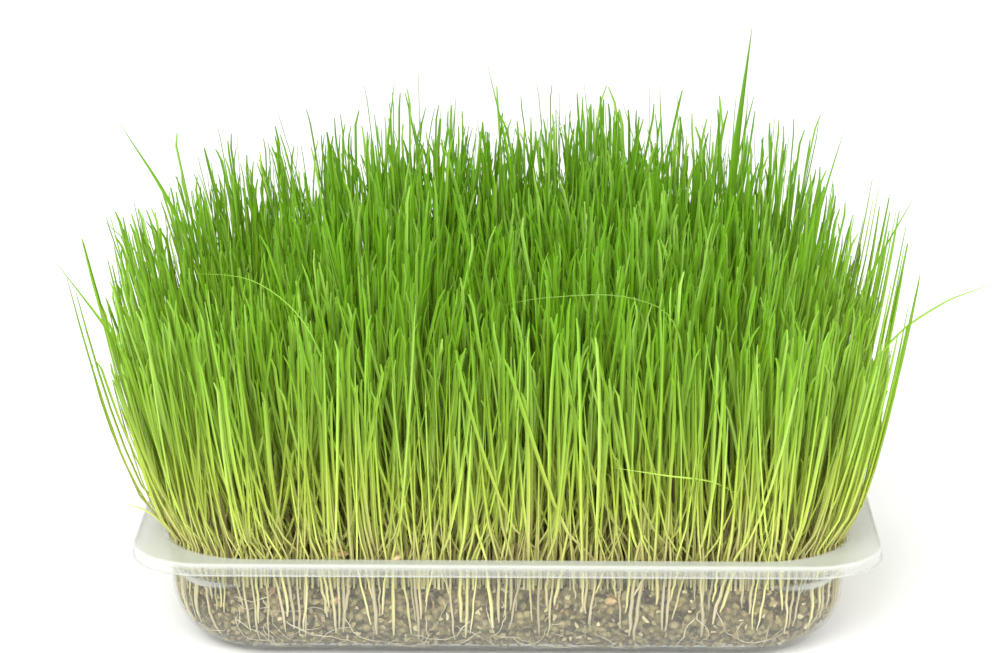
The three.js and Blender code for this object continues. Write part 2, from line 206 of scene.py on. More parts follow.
def grass_material(sward):
    """Wheat leaf, grown: waxy and slightly translucent, one long edge of each blade painted lighter.

    That gives the eye a satin green that glows where light comes through, painted shade across each
    blade, and a bleached foot.
    """
    material, tree, place = new_material("wheat_leaf")
    height = add(tree, "ShaderNodeSeparateXYZ", [place]).outputs["Z"]
    tone = add(tree, "ShaderNodeAttribute", attribute_name="tone").outputs["Fac"]
    shifted = add(tree, MATHS, [tone, 18 * MM, height], operation="MULTIPLY_ADD")
    grown = add(tree, "ShaderNodeMapRange", {"Value": shifted, "From Min": 30 * MM, "From Max": 165 * MM})
    body = add(tree, "ShaderNodeValToRGB", {"Fac": grown}, stops=(
        (0.0, tuple(sward.straw)),
        (0.14, linear("e0db8e")),
        (0.32, tuple(sward.young)),
        (0.55, linear("99c336")),
        (0.8, tuple(sward.green)),
        (1.0, linear("70ad18")),
    ))
    is_dried = add(tree, MATHS, [tone, sward.dried], operation="LESS_THAN")
    body = add(tree, "ShaderNodeMix", {
        "Factor": is_dried, "A": body, "B": linear("a3936a"),
    }, data_type="RGBA")
    paling = add(tree, "ShaderNodeMapRange", {"Value": tone, "From Min": 0.55, "To Max": 0.26})
    body = add(tree, "ShaderNodeMix", {
        "Factor": paling, "A": body, "B": linear("cfdc8a"),
    }, data_type="RGBA")
    varied = add(tree, "ShaderNodeMapRange", {"Value": tone, "To Min": 0.66, "To Max": 1.08})
    # Painted light and shade: the attribute runs from one long edge of a blade to the other, and the
    # brightness follows it from 0.76 to 1.18.
    streak = add(tree, "ShaderNodeAttribute", attribute_name="streak").outputs["Fac"]
    painted_side_shade = add(tree, "ShaderNodeMapRange", {"Value": streak, "To Min": 0.76, "To Max": 1.18})
    brightness = add(tree, MATHS, [varied, painted_side_shade], operation="MULTIPLY")
    shade = add(tree, VECTORS, {0: body, "Scale": brightness}, operation="SCALE")
    surface = add(tree, "ShaderNodeBsdfPrincipled", {
        "Base Color": shade, "Roughness": 0.42, "IOR": 1.42, "Specular IOR Level": 0.4,
    })
    through = add(tree, "ShaderNodeBsdfTranslucent", {"Color": shade})
    mixed = add(tree, "ShaderNodeMixShader", [0.25, surface, through])
    add(tree, "ShaderNodeOutputMaterial", {"Surface": mixed})
    return material


def medium_material(medium):
    """Damp mineral and husk growing medium, poured loose.

    That gives the eye matt crumbs about three millimetres across, each with its own brown, and painted
    shade darkening the crevices between them.
    """
    material, tree, place = new_material("damp_growing_medium")
    crumbs = add(tree, "ShaderNodeTexVoronoi", {"Vector": place, "Scale": 1 / medium.grain})
    grit = add(tree, "ShaderNodeTexNoise", {
        "Vector": place, "Scale": 1 / (1.1 * MM), "Detail": 4.0, "Roughness": 0.65,
    })
    own = add(tree, "ShaderNodeSeparateColor", [crumbs.outputs["Color"]])
    mixed = add(tree, "ShaderNodeMix", {"Factor": 0.35, "A": own, "B": grit}, data_type="FLOAT")
    body = add(tree, "ShaderNodeValToRGB", {"Fac": mixed}, stops=(
        (0.2, tuple(medium.dark)),
        (0.45, linear("756a49")),
        (0.6, tuple(medium.middle)),
        (0.78, tuple(medium.pale)),
    ))
    # Painted shade: each crumb is darkened toward its edges, down to 0.4, so that the crevices between
    # crumbs look shaded.
    crevice = add(tree, "ShaderNodeMapRange", {
        "Value": crumbs, "From Min": 0.3, "From Max": 0.7, "To Min": 1.0, "To Max": 0.4,
    })
    shade = add(tree, VECTORS, {0: body, "Scale": crevice}, operation="SCALE")
    bump = add(tree, "ShaderNodeBump", {"Height": grit, "Strength": 0.6, "Distance": 0.4 * MM})
    surface = add(tree, "ShaderNodeBsdfPrincipled", {
        "Base Color": shade, "Roughness": 0.9, "Specular IOR Level": 0.3, "Normal": bump,
    })
    add(tree, "ShaderNodeOutputMaterial", {"Surface": surface})
    return material


def flake_material():
    """Expanded mineral and husk, loose and dry on top.

    That gives the eye matt flakes, each with its own shade from olive brown to cream, in fine layers.
    """
    material, tree, place = new_material("mineral_flakes_and_husk")
    tone = add(tree, "ShaderNodeAttribute", attribute_name="tone").outputs["Fac"]
    body = add(tree, "ShaderNodeValToRGB", {"Fac": tone}, stops=(
        (0.0, linear("574e32")),
        (0.2, linear("7d734e")),
        (0.6, linear("9f946b")),
        (0.8, linear("8d7050")),
        (0.86, linear("b0a57a")),
        (1.0, linear("d2c89e")),
    ))
    layers = add(tree, "ShaderNodeTexNoise", {"Vector": place, "Scale": 1 / (0.7 * MM), "Detail": 3.0})
    varied = add(tree, "ShaderNodeMapRange", {
        "Value": layers, "From Min": 0.3, "From Max": 0.7, "To Min": 0.72, "To Max": 1.2,
    })
    shade = add(tree, VECTORS, {0: body, "Scale": varied}, operation="SCALE")
    surface = add(tree, "ShaderNodeBsdfPrincipled", {"Base Color": shade, "Roughness": 0.8})
    add(tree, "ShaderNodeOutputMaterial", {"Surface": surface})
    return material


def root_material(medium):
    """Young roots, damp: that gives the eye a soft white sheen, browner over stretches that have dried."""
    material, tree, place = new_material("young_roots")
    dry = add(tree, "ShaderNodeTexNoise", {"Vector": place, "Scale": 1 / (6 * MM), "Detail": 3.0})
    body = add(tree, "ShaderNodeValToRGB", {"Fac": dry}, stops=(
        (0.35, linear("a89f7c")), (0.62, tuple(medium.root)),
    ))
    surface = add(tree, "ShaderNodeBsdfPrincipled", {"Base Color": body, "Roughness": 0.45})
    add(tree, "ShaderNodeOutputMaterial", {"Surface": surface})
    return material


def kernel_material():
    """Wheat bran, dry.

    That gives the eye smooth tan skin with cream and brown blotches two millimetres across.
    """
    material, tree, place = new_material("wheat_bran")
    blotch = add(tree, "ShaderNodeTexNoise", {"Vector": place, "Scale": 1 / (2.4 * MM), "Detail": 4.0})
    body = add(tree, "ShaderNodeValToRGB", {"Fac": blotch}, stops=(
        (0.3, linear("7d6141")), (0.5, linear("ae9061")), (0.7, linear("d8c99c")),
    ))
    surface = add(tree, "ShaderNodeBsdfPrincipled", {"Base Color": body, "Roughness": 0.5})
    add(tree, "ShaderNodeOutputMaterial", {"Surface": surface})
    return material


def sheet_material(tray):
    """Clear polymer sheet, vacuum formed.

    That gives the eye a thin soft gloss with slow waves, nearly clear square on, and milky on the flange.
    The veil thickens toward grazing view as painted reflection, and the haze attribute holds the milkiness
    with painted highlight lines along the fold, the skirt's foot and the shoulder's edge.
    """
    material, tree, place = new_material("clear_formed_sheet")
    waves = add(tree, "ShaderNodeTexNoise", {"Vector": place, "Scale": 1 / (22 * MM), "Detail": 1.0})
    bump = add(tree, "ShaderNodeBump", {"Height": waves, "Strength": 0.08, "Distance": 1 * MM})
    # Painted reflection: the sheet turns more opaque toward grazing view, so that its pale tint stands in
    # for the rim reflections.
    facing = add(tree, "ShaderNodeLayerWeight", {"Blend": 0.5}).outputs["Facing"]
    edge_on = add(tree, MATHS, [facing, 3.0], operation="POWER")
    clear = add(tree, "ShaderNodeMapRange", {"Value": edge_on, "To Min": 0.06, "To Max": 0.24})
    # The haze attribute: the sheet's milkiness, raised along the fold, the skirt's foot and the shoulder's
    # edge into painted highlight lines.
    haze = add(tree, "ShaderNodeAttribute", attribute_name="haze").outputs["Fac"]
    veil = add(tree, MATHS, [clear, haze], operation="ADD", use_clamp=True)
    surface = add(tree, "ShaderNodeBsdfPrincipled", {
        "Base Color": tuple(tray.tint), "Roughness": 0.2, "IOR": 1.49, "Alpha": veil, "Normal": bump,
    })
    add(tree, "ShaderNodeOutputMaterial", {"Surface": surface})
    return material


def floor_material(studio):
    """Studio paper: matt white, with its fibre drawn three millimetres coarse so that it shows at all."""
    material, tree, place = new_material("studio_paper")
    fibre = add(tree, "ShaderNodeTexNoise", {"Vector": place, "Scale": 1 / (3 * MM), "Detail": 2.0})
    bump = add(tree, "ShaderNodeBump", {"Height": fibre, "Strength": 0.02, "Distance": 0.2 * MM})
    surface = add(tree, "ShaderNodeBsdfPrincipled", {
        "Base Color": tuple(studio.floor), "Roughness": 0.9, "Specular IOR Level": 0.1, "Normal": bump,
    })
    add(tree, "ShaderNodeOutputMaterial", {"Surface": surface})
    return material


def linked(name, data):
    """A new object with this data, linked to the scene."""
    made = bpy.data.objects.new(name, data)
    bpy.context.scene.collection.objects.link(made)
    return made


def mesh_object(name, points, faces, material=None):
    """A linked object with a mesh of these points and faces."""
    mesh = bpy.data.meshes.new(name)
    mesh.from_pydata([tuple(p) for p in points], [], faces)
    mesh.validate()
    if material:
        mesh.materials.append(material)
    return linked(name, mesh)


def loft(rings):
    """Points and faces of a closed skin through rings of equal length, which faces out where they go up."""
    count = len(rings[0])
    faces = []
    for r in range(len(rings) - 1):
        for i in range(count):
            j = (i + 1) % count
            faces.append((r * count + i, r * count + j, (r + 1) * count + j, (r + 1) * count + i))
    faces.append(tuple(reversed(range(count))))
    faces.append(tuple(range((len(rings) - 1) * count, len(rings) * count)))
    return [p for ring in rings for p in ring], faces


def part_piece(piece, slot, *nodes):
    """Attaches a finished piece to its body and hides the CAD nodes that it stands for. slot is not used.
    """
    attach(piece, BODY)
    if nodes:
        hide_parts(*nodes)


def new_tree(name, inputs):
    """An empty Geometry Nodes tree with a geometry output and named inputs, as name: (kind, value)."""
    tree = bpy.data.node_groups.new(name, "GeometryNodeTree")
    tree.interface.new_socket("Geometry", in_out="INPUT", socket_type="NodeSocketGeometry")
    tree.interface.new_socket("Geometry", in_out="OUTPUT", socket_type="NodeSocketGeometry")
    for label, (kind, value) in inputs.items():
        socket = tree.interface.new_socket(label, in_out="INPUT", socket_type="NodeSocket" + kind)
        socket.default_value = value
    return tree, add(tree, "NodeGroupInput").outputs


def closed(tree, geometry, material):
    """Ends a Geometry Nodes tree with this geometry in its material."""
    finish = add(tree, "GeometryNodeSetMaterial", {"Geometry": geometry, "Material": material})
    add(tree, "NodeGroupOutput", [finish])
    return tree


def grow(tree, source, name, values):
    """Runs a Geometry Nodes tree on the source object and returns its result as a plain mesh object."""
    modifier = source.modifiers.new("grow", "NODES")
    modifier.node_group = tree
    sockets = {item.name: item.identifier for item in tree.interface.items_tree if item.in_out == "INPUT"}
    for label, value in values.items():
        modifier[sockets[label]] = value
    graph = bpy.context.evaluated_depsgraph_get()
    graph.update()
    mesh = bpy.data.meshes.new_from_object(source.evaluated_get(graph), depsgraph=graph)
    source.modifiers.remove(modifier)
    mesh.name = name
    return linked(name, mesh)


def drop(helper, piece, labels):
    """Removes a helper object with its mesh, and the attributes of the piece that no material reads."""
    spare = helper.data
    bpy.data.objects.remove(helper)
    bpy.data.meshes.remove(spare)
    attributes = piece.data.attributes
    for label in labels:
        if label in attributes:
            attributes.remove(attributes[label])


# The tray's shape, shared by the tray, the medium and what lies against the wall. Insets are measured from
# the outside of the walls where they leave the flange, except on the skirt and its fold.
# The wall's inset where it meets the base fillet, from its taper and the shoulder's step, and the height
# above the fillet over which it is lost.
FOOT_INSET = 1.2 * MM + 0.6 * MM
WALL_SPAN = 15.5 * MM
# How far the stacking shoulder's edge is lowered for each millimetre that it stands in, and about how far
# at the middle of a corner.
SHOULDER_SAG = 1.6
SHOULDER_DROP = 2 * MM
# How much the corner radius closes for each millimetre of inset round the base, once the inset is past the
# wall's by a margin, and the least it comes to.
CORNER_CLOSING = 0.9
CLOSING_MARGIN = 1 * MM
LEAST_CORNER = 2 * MM
# The wall above the base fillet: height, haze, and how far the stacking shoulder at the corners stands in,
# in millimetres. The haze peaks at the shoulder's edge as a painted highlight line. The shoulder starts at
# the height of SHOULDER_START.
SHOULDER_START = 21.0
WALL_ROWS = (
    (23.0, 0.0, 0.2), (25.0, 0.0, 0.7), (27.0, 0.0, 1.2), (29.4, 0.0, 1.6), (30.4, 0.1, 1.7),
    (30.9, 0.5, 1.6), (31.3, 0.5, 0.7), (31.8, 0.1, 0.1), (33.5, 0.02, 0.0), (36.5, 0.02, 0.0),
)


def outline(half, corner, z, corner_steps, sides, shoulder=0.0):
    """A rounded outline in plan, anticlockwise. shoulder is how far it stands in at a corner's middle."""
    x, y = (size - corner for size in half)
    centres = [(x, y), (-x, y), (-x, -y), (x, -y)]
    points = []
    for quarter, (cx, cy) in enumerate(centres):
        for i in range(corner_steps + 1):
            angle = (quarter + i / corner_steps) * math.pi / 2
            set_in = shoulder * math.sin(i / corner_steps * math.pi) ** 2
            radius = corner - set_in
            low = z - set_in * SHOULDER_SAG
            points.append(Vector((cx + radius * math.cos(angle), cy + radius * math.sin(angle), low)))
        nx, ny = centres[(quarter + 1) % 4]
        run = Vector((nx - cx, ny - cy, 0))
        start = points[-1].copy()
        steps = sides[quarter % 2]
        points += [start + run * (s / steps) for s in range(1, steps)]
    return points


def wall_corner(tray, inset):
    """Corner radius in plan: the mouth's at the wall, and tighter round the base."""
    closed = CORNER_CLOSING * max(0.0, inset - FOOT_INSET - CLOSING_MARGIN)
    return max(LEAST_CORNER, tray.mouth_corner - closed)


def wall_ring(tray, inset, z, corner_steps, sides, shoulder=0.0):
    """A ring round the walls."""
    half = (tray.mouth_width / 2 - inset, tray.mouth_length / 2 - inset)
    return outline(half, wall_corner(tray, inset), z, corner_steps, sides, shoulder)


def shoulder_at(z):
    """How far the shoulder at the corners stands in at a height."""
    rows = ((SHOULDER_START, 0.0, 0.0),) + WALL_ROWS
    for (low, _, a), (high, _, b) in zip(rows, rows[1:]):
        if low * MM <= z <= high * MM:
            return (a + (b - a) * (z / MM - low) / (high - low)) * MM
    return 0.0


def fillet_section(tray, thickness, steps):
    """The base fillet as pairs of inset and height, from the base up, on the surface thickness inside."""
    radius = tray.fillet - thickness
    centre = FOOT_INSET + tray.fillet
    angles = [i / steps * math.pi / 2 for i in range(steps + 1)]
    return [(centre - radius * math.sin(a), tray.fillet - radius * math.cos(a)) for a in angles]


class TraySkin:
    """The tray's inner surface as a grid: places round the tray, and ways down from START below its top."""

    STEP = 1 * MM
    RINGS = 95
    START = 3 * MM
    CORNER_STEPS = 20
    SIDES = (50, 36)

    def __init__(self, tray, away):
        inner = tray.sheet + away
        radius = tray.fillet - inner
        straight = tray.height - self.START - tray.fillet
        turn = radius * math.pi / 2
        self.rings = []
        for i in range(self.RINGS):
            down = i * self.STEP
            if down <= straight:
                inset = FOOT_INSET + inner - FOOT_INSET * min(1.0, (straight - down) / WALL_SPAN)
                z = tray.fillet + straight - down
            elif down <= straight + turn:
                angle = (down - straight) / radius
                inset = FOOT_INSET + tray.fillet - radius * math.cos(angle)
                z = tray.fillet - radius * math.sin(angle)
            else:
                inset, z = FOOT_INSET + tray.fillet + down - straight - turn, inner
            self.rings.append(wall_ring(tray, inset, z, self.CORNER_STEPS, self.SIDES, shoulder_at(z)))
        self.count = len(self.rings[0])
        first = self.rings[0]
        self.marks = [0.0]
        for i in range(self.count):
            self.marks.append(self.marks[-1] + (first[(i + 1) % self.count] - first[i]).length)
        self.round = self.marks[-1]

    def place(self, around, down):
        """The place at a length round the mouth, anticlockwise from the right, and a way down the skin."""
        around %= self.round
        i = min(bisect.bisect_right(self.marks, around), self.count) - 1
        f = (around - self.marks[i]) / max(1e-9, self.marks[i + 1] - self.marks[i])
        row = min(max(down / self.STEP, 0.0), self.RINGS - 1.001)
        j = int(row)
        g = row - j
        a, b = self.rings[j], self.rings[j + 1]
        n = (i + 1) % self.count
        return a[i].lerp(a[n], f).lerp(b[i].lerp(b[n], f), g)


def strand_tree(name, material, sides, flatness, fold):
    """Skins polylines: round strands, or flat ones folded along the middle, as wide as their girth says."""
    tree, given = new_tree(name, {
        "Width": ("Float", 1 * MM), "Flatness": ("Float", flatness), "Fold": ("Float", fold),
    })
    own = {
        label: add(tree, "GeometryNodeInputNamedAttribute", {"Name": label}, data_type="FLOAT")
        for label in ("girth", "turn")
    }
    line = add(tree, "GeometryNodeMeshToCurve", {"Mesh": given["Geometry"]})
    turned = add(tree, "GeometryNodeSetCurveTilt", {"Curve": line, "Tilt": own["turn"]})
    circle = add(tree, "GeometryNodeCurvePrimitiveCircle", {"Resolution": sides, "Radius": 0.5})
    x, y, _ = add(tree, "ShaderNodeSeparateXYZ", [add(tree, "GeometryNodeInputPosition")]).outputs
    folded = chain(tree, MATHS, x, ("ABSOLUTE",), ("MULTIPLY", given["Fold"]))
    lifted = add(tree, MATHS, [y, given["Flatness"], folded], operation="MULTIPLY_ADD")
    shape = add(tree, "ShaderNodeCombineXYZ", [x, lifted])
    section = add(tree, "GeometryNodeSetPosition", {"Geometry": circle, "Position": shape})
    # Painted light and shade: one side of the profile is stored lighter than the other, for the leaf
    # material to read.
    side_painted = add(tree, "GeometryNodeStoreNamedAttribute", {
        "Geometry": section, "Name": "streak", "Value": add(tree, MATHS, [x, 0.5], operation="ADD"),
    }, domain="POINT", data_type="FLOAT")
    skin = add(tree, "GeometryNodeCurveToMesh", {
        "Curve": turned, "Profile Curve": side_painted, "Fill Caps": True,
        "Scale": add(tree, MATHS, [own["girth"], given["Width"]], operation="MULTIPLY"),
    })
    smooth = add(tree, "GeometryNodeSetShadeSmooth", {"Geometry": skin, "Shade Smooth": flatness > 0.5})
    real = add(tree, "GeometryNodeRealizeInstances", {"Geometry": smooth})
    return closed(tree, real, material)


def strand_piece(name, tree, strands, width, slot):
    """Makes a piece of strands, each given as points, girths along it, a tone and a turn of its face."""
    points, edges, girths, tones, turns = [], [], [], [], []
    for path, widths, tone, turn in strands:
        start = len(points)
        points += [tuple(p) for p in path]
        edges += [(start + i, start + i + 1) for i in range(len(path) - 1)]
        girths += widths
        tones += [tone] * len(path)
        turns += [turn] * len(path)
    mesh = bpy.data.meshes.new("lines")
    mesh.from_pydata(points, edges, [])
    for label, values in (("girth", girths), ("tone", tones), ("turn", turns)):
        mesh.attributes.new(label, "FLOAT", "POINT").data.foreach_set("value", values)
    lines = linked("lines", mesh)
    piece = grow(tree, lines, name, {"Width": width})
    drop(lines, piece, ("girth", "turn"))
    part_piece(piece, slot)


class WHEATGRASS_OT_tray(bpy.types.Operator):
    """Build the clear formed tray"""

    bl_idname = "wheatgrass.tray"
    bl_label = "Tray"

    # Radius of the fold from the flange to the skirt, outside and inside, and the steps along a ring.
    FOLD, INNER_FOLD = 0.7 * MM, 0.3 * MM
    CORNER_STEPS = 16
    SIDES = (9, 6)
    # The skirt from inside to outside: sheets inwards, inset and height above its foot in mm, haze. The
    # haze peaks at the foot as a painted highlight line.
    SKIRT_ROWS = (
        (1, 0.25, 1.0, 0.1), (1, 0.05, 0.3, 0.3), (1, 0.0, 0.0, 0.5), (0, 0.0, 0.0, 0.5),
        (0, 0.02, 0.35, 0.3), (0, 0.1, 0.8, 0.12), (0, 0.3, 2.4, 0.12),
    )
    # The haze of the fillet at the base, of the rolls, and of the flange at its fold and beside it. At the
    # fold the haze is raised a little as a painted highlight line.
    BASE_HAZE, ROLL_HAZE, FOLD_HAZE, FLANGE_HAZE = 0.08, 0.3, 0.62, 0.58

    def execute(self, context):
        tray = context.scene.wheatgrass_tray
        top = tray.height
        under = top - tray.sheet
        foot = top - tray.skirt

        def side(thickness):
            """The wall from the base to the mouth as (inset, height, haze with painted highlight,
            shoulder).
            """
            base = fillet_section(tray, thickness, 12)
            rows = [(i, z, self.BASE_HAZE * max(0.0, 1 - z / tray.fillet), 0.0) for i, z in base]
            for z, haze, shoulder in WALL_ROWS:
                share = (z * MM - tray.fillet) / WALL_SPAN
                rows.append((FOOT_INSET * (1 - share) + thickness, z * MM, haze, shoulder * MM))
            return rows

        def rolled(inset, z, radius, start, end, haze, steps):
            """An arc of the section about (inset, z), by angle from straight inwards."""
            angles = [math.radians(start + (end - start) * i / steps) for i in range(steps + 1)]
            return [(inset + radius * math.cos(a), z + radius * math.sin(a), haze, 0.0) for a in angles]

        low_lip = under - tray.lip
        outside = side(0.0) + rolled(-tray.lip, low_lip, tray.lip, 0, 90, self.ROLL_HAZE, 5)
        fold = tray.flare + self.FOLD
        skirt = rolled(fold, under - self.INNER_FOLD, self.INNER_FOLD, 90, 180, self.ROLL_HAZE, 3)
        for sheets, inset, rise, haze in self.SKIRT_ROWS:
            skirt.append((sheets * tray.sheet + inset * MM, foot + rise * MM, haze, 0.0))
        skirt += rolled(fold, top - self.FOLD, self.FOLD, 180, 90, self.FOLD_HAZE, 5)
        skirt.append((tray.flare + 1.6 * MM, top, self.FLANGE_HAZE, 0.0))
        inside = [(-tray.lip - 0.4 * MM, top, self.FLANGE_HAZE, 0.0)]
        inside += rolled(-tray.lip, low_lip, tray.lip + tray.sheet, 90, 0, self.ROLL_HAZE, 6)
        inside += list(reversed(side(tray.sheet)))

        grid = (self.CORNER_STEPS, self.SIDES)
        rings = [wall_ring(tray, i, z, *grid, s) for i, z, _, s in outside]
        for i, z, _, _ in skirt:
            half = (tray.width / 2 - i, tray.depth / 2 - i)
            rings.append(outline(half, tray.flange_corner - i, z, *grid))
        rings += [wall_ring(tray, i, z, *grid, s) for i, z, _, s in inside]
        points, faces = loft(rings)
        piece = mesh_object("tray_shell", points, faces, sheet_material(tray))
        # The haze with its painted highlight lines: along the shoulder only as far as it stands in,
        # elsewhere all round.
        haze = []
        for (inset, z, row_haze_and_highlight, shoulder), ring in zip(outside + skirt + inside, rings):
            if shoulder:
                plain = wall_ring(tray, inset, z, *grid)
                haze += [row_haze_and_highlight * (p.xy - q.xy).length / shoulder for p, q in zip(ring, plain)]
            else:
                haze += [row_haze_and_highlight] * len(ring)
        piece.data.attributes.new("haze", "FLOAT", "POINT").data.foreach_set("value", haze)
        for face in piece.data.polygons:
            face.use_smooth = len(face.vertices) == 4
        part_piece(piece, "clear_tray", "tray")
        return {"FINISHED"}


def crumb_depth(medium, place):
    """Depth of the relief at a place: rounded crumbs with crevices between them, over a slow swell."""
    scaled = place / medium.grain
    distances = noise.voronoi(scaled, distance_metric="DISTANCE", exponent=2.5)[0]
    crevice = max(0.0, 1 - (distances[1] - distances[0]) * 2.2)
    broad = noise.noise(scaled * 0.33)
    return medium.relief * max(0.0, 0.15 + 0.6 * crevice + 0.35 * broad)


def medium_top(x, y):
    """Height of the lumpy top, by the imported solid's rule."""
    lump = 1.1 * MM * math.sin(x / MM * 0.113 + 1.3) * math.cos(y / MM * 0.137 - 0.4)
    return 30.2 * MM + lump


class WHEATGRASS_OT_medium(bpy.types.Operator):
    """Build the block of growing medium with its crumbly relief"""

    bl_idname = "wheatgrass.medium"
    bl_label = "Growing medium"

    # Rings on the fillet, up the wall and over the top, and the steps along each.
    FILLET_STEPS, WALL_STEPS, TOP_RINGS = 20, 8, 31
    CORNER_STEPS = 26
    SIDES = (120, 73)

    def execute(self, context):
        tray, medium = context.scene.wheatgrass_tray, context.scene.wheatgrass_medium
        gap = tray.sheet + medium.gap
        section = [(i, z, 0.0) for i, z in fillet_section(tray, gap, self.FILLET_STEPS)]
        for step in range(1, self.WALL_STEPS + 1):
            z = tray.fillet + step * MM
            section.append((FOOT_INSET * (1 - step * MM / WALL_SPAN) + gap, z, shoulder_at(z)))
        inset, z, shoulder = section[-1]
        section += [(inset + 0.6 * MM, z + 0.7 * MM, shoulder), (inset + 1.8 * MM, z + 1.2 * MM, shoulder)]
        rings = [wall_ring(tray, i, z, self.CORNER_STEPS, self.SIDES, s) for i, z, s in section]
        rim = [p.xy for p in rings[-1]]
        for i in range(self.TOP_RINGS):
            share = 0.985 * (1 - i / (self.TOP_RINGS + 1))
            rings.append([Vector((x * share, y * share, medium_top(x * share, y * share))) for x, y in rim])
        for number, ring in enumerate(rings[1:], 1):
            for p in ring:
                depth = crumb_depth(medium, p)
                if number < len(section):
                    out = Vector((p.x, p.y, 0)).normalized()
                    tilt = min(1.0, max(0.0, p.z / tray.fillet))
                    p -= out * depth * tilt
                    p.z += depth * (1 - tilt) * 0.8
                else:
                    p.z -= depth * 1.3
        points, faces = loft(rings)
        piece = mesh_object("growing_medium_block", points, faces, medium_material(medium))
        for face in piece.data.polygons:
            face.use_smooth = True
        part_piece(piece, "growing_medium", "growing_medium")
        return {"FINISHED"}


def flake_tree(material):
    """Flakes scattered on a surface: small bodies with few faces, squashed, turned and scaled at random."""
    tree, given = new_tree("mineral_flakes", {
        "Spacing": ("Float", 2.4 * MM), "Flake": ("Float", 3.9 * MM), "Sink": ("Float", 0.0),
        "Seed": ("Int", 0),
    })
    scattered = add(tree, "GeometryNodeDistributePointsOnFaces", {
        "Mesh": given["Geometry"], "Distance Min": given["Spacing"], "Density Max": 400000.0,
        "Seed": given["Seed"],
    }, distribute_method="POISSON")
    sunk = add(tree, VECTORS, {0: scattered.outputs["Normal"], "Scale": given["Sink"]}, operation="SCALE")
    moved = add(tree, "GeometryNodeSetPosition", {"Geometry": scattered, "Offset": sunk})
    body = add(tree, "GeometryNodeMeshIcoSphere", {"Radius": 0.5, "Subdivisions": 1})
    rough = add(tree, "ShaderNodeTexNoise", {"Scale": 2.3, "Detail": 0.0}).outputs["Color"]
    pushed = add(tree, VECTORS, [rough, (0.5, 0.5, 0.5)], operation="SUBTRACT")
    angular = add(tree, "GeometryNodeSetPosition", {"Geometry": body, "Offset": pushed})
    turn = add(tree, RANDOM, {"Max": (math.tau, math.tau, math.tau), "Seed": 3}, data_type="FLOAT_VECTOR")
    size = add(tree, RANDOM, {
        "Min": (0.35, 0.3, 0.16), "Max": (1.0, 0.8, 0.45), "Seed": 4,
    }, data_type="FLOAT_VECTOR")
    scale = add(tree, VECTORS, {0: size, "Scale": given["Flake"]}, operation="SCALE")
    placed = add(tree, "GeometryNodeInstanceOnPoints", {
        "Points": moved, "Instance": angular, "Rotation": turn, "Scale": scale,
    })
    toned = add(tree, "GeometryNodeStoreNamedAttribute", {
        "Geometry": placed, "Name": "tone", "Value": add(tree, RANDOM, {"Seed": 5}, data_type="FLOAT"),
    }, domain="INSTANCE", data_type="FLOAT")
    real = add(tree, "GeometryNodeRealizeInstances", {"Geometry": toned})
    return closed(tree, real, material)


def keep_inside(tray, mesh, away):
    """Presses what would stand through the sheet back to the inside of the tray."""
    inner = tray.sheet + away
    radius = tray.fillet - inner
    for vertex in mesh.vertices:
        p = vertex.co
        p.z = max(p.z, inner)
        below = max(0.0, tray.fillet - p.z)
        inset = FOOT_INSET + tray.fillet - math.sqrt(max(0.0, radius ** 2 - below ** 2))
        inset -= FOOT_INSET * min(1.0, max(0.0, p.z - tray.fillet) / WALL_SPAN)
        corner = wall_corner(tray, inset)
        straight = (tray.mouth_width / 2 - inset - corner, tray.mouth_length / 2 - inset - corner)
        over = [max(0.0, abs(c) - s) for c, s in zip(p, straight)]
        reach = math.hypot(*over)
        if min(over) > 0:
            diagonal = (2 * over[0] * over[1] / reach ** 2) ** 2
            corner -= diagonal * shoulder_at(p.z + SHOULDER_DROP * diagonal)
        if reach > corner:
            p.x, p.y = (
                math.copysign(min(abs(c), s) + o * corner / reach, c) for c, s, o in zip(p, straight, over)
            )


class WHEATGRASS_OT_flakes(bpy.types.Operator):
    """Scatter mineral flakes and husk over the growing medium"""

    bl_idname = "wheatgrass.flakes"
    bl_label = "Flakes"

    def execute(self, context):
        tray, medium = context.scene.wheatgrass_tray, context.scene.wheatgrass_medium
        tree = flake_tree(flake_material())
        block = bpy.data.objects["growing_medium_block"]
        piece = grow(tree, block, "medium_flakes", {
            "Spacing": medium.flake_spacing, "Flake": medium.flake, "Sink": -0.3 * MM,
            "Seed": context.scene.wheatgrass_sward.seed,
        })
        keep_inside(tray, piece.data, 0.2 * MM)
        part_piece(piece, "growing_medium")
        return {"FINISHED"}


# The sward's rules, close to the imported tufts'. The lean is the way sideways by the height. LEAN is its
# size at the edge. Single blades add to it by LEAN_SPREAD, and it stays between LEAN_LEAST and LEAN_MOST.
# LEAN_BEND is the power by which it grows along a blade.
LEAN = (0.34, 0.22, 0.0)
LEAN_LEAST, LEAN_MOST = (-0.34, -0.32, 0.0), (0.25, 0.32, 0.0)
LEAN_SPREAD = 0.2
LEAN_BEND = 0.6
# The height in the medium that the grass grows from.
FOOT_LEVEL = 29.4 * MM
# The height of the sward from its left to its right side, as a share of the tallest part.
CREST = (
    (0.0, 0.7), (0.06, 0.82), (0.14, 0.85), (0.25, 0.85), (0.32, 0.97), (0.44, 0.88), (0.53, 0.92),
    (0.65, 0.99), (0.75, 0.94), (0.88, 0.88), (0.95, 0.74), (1.0, 0.56),
)
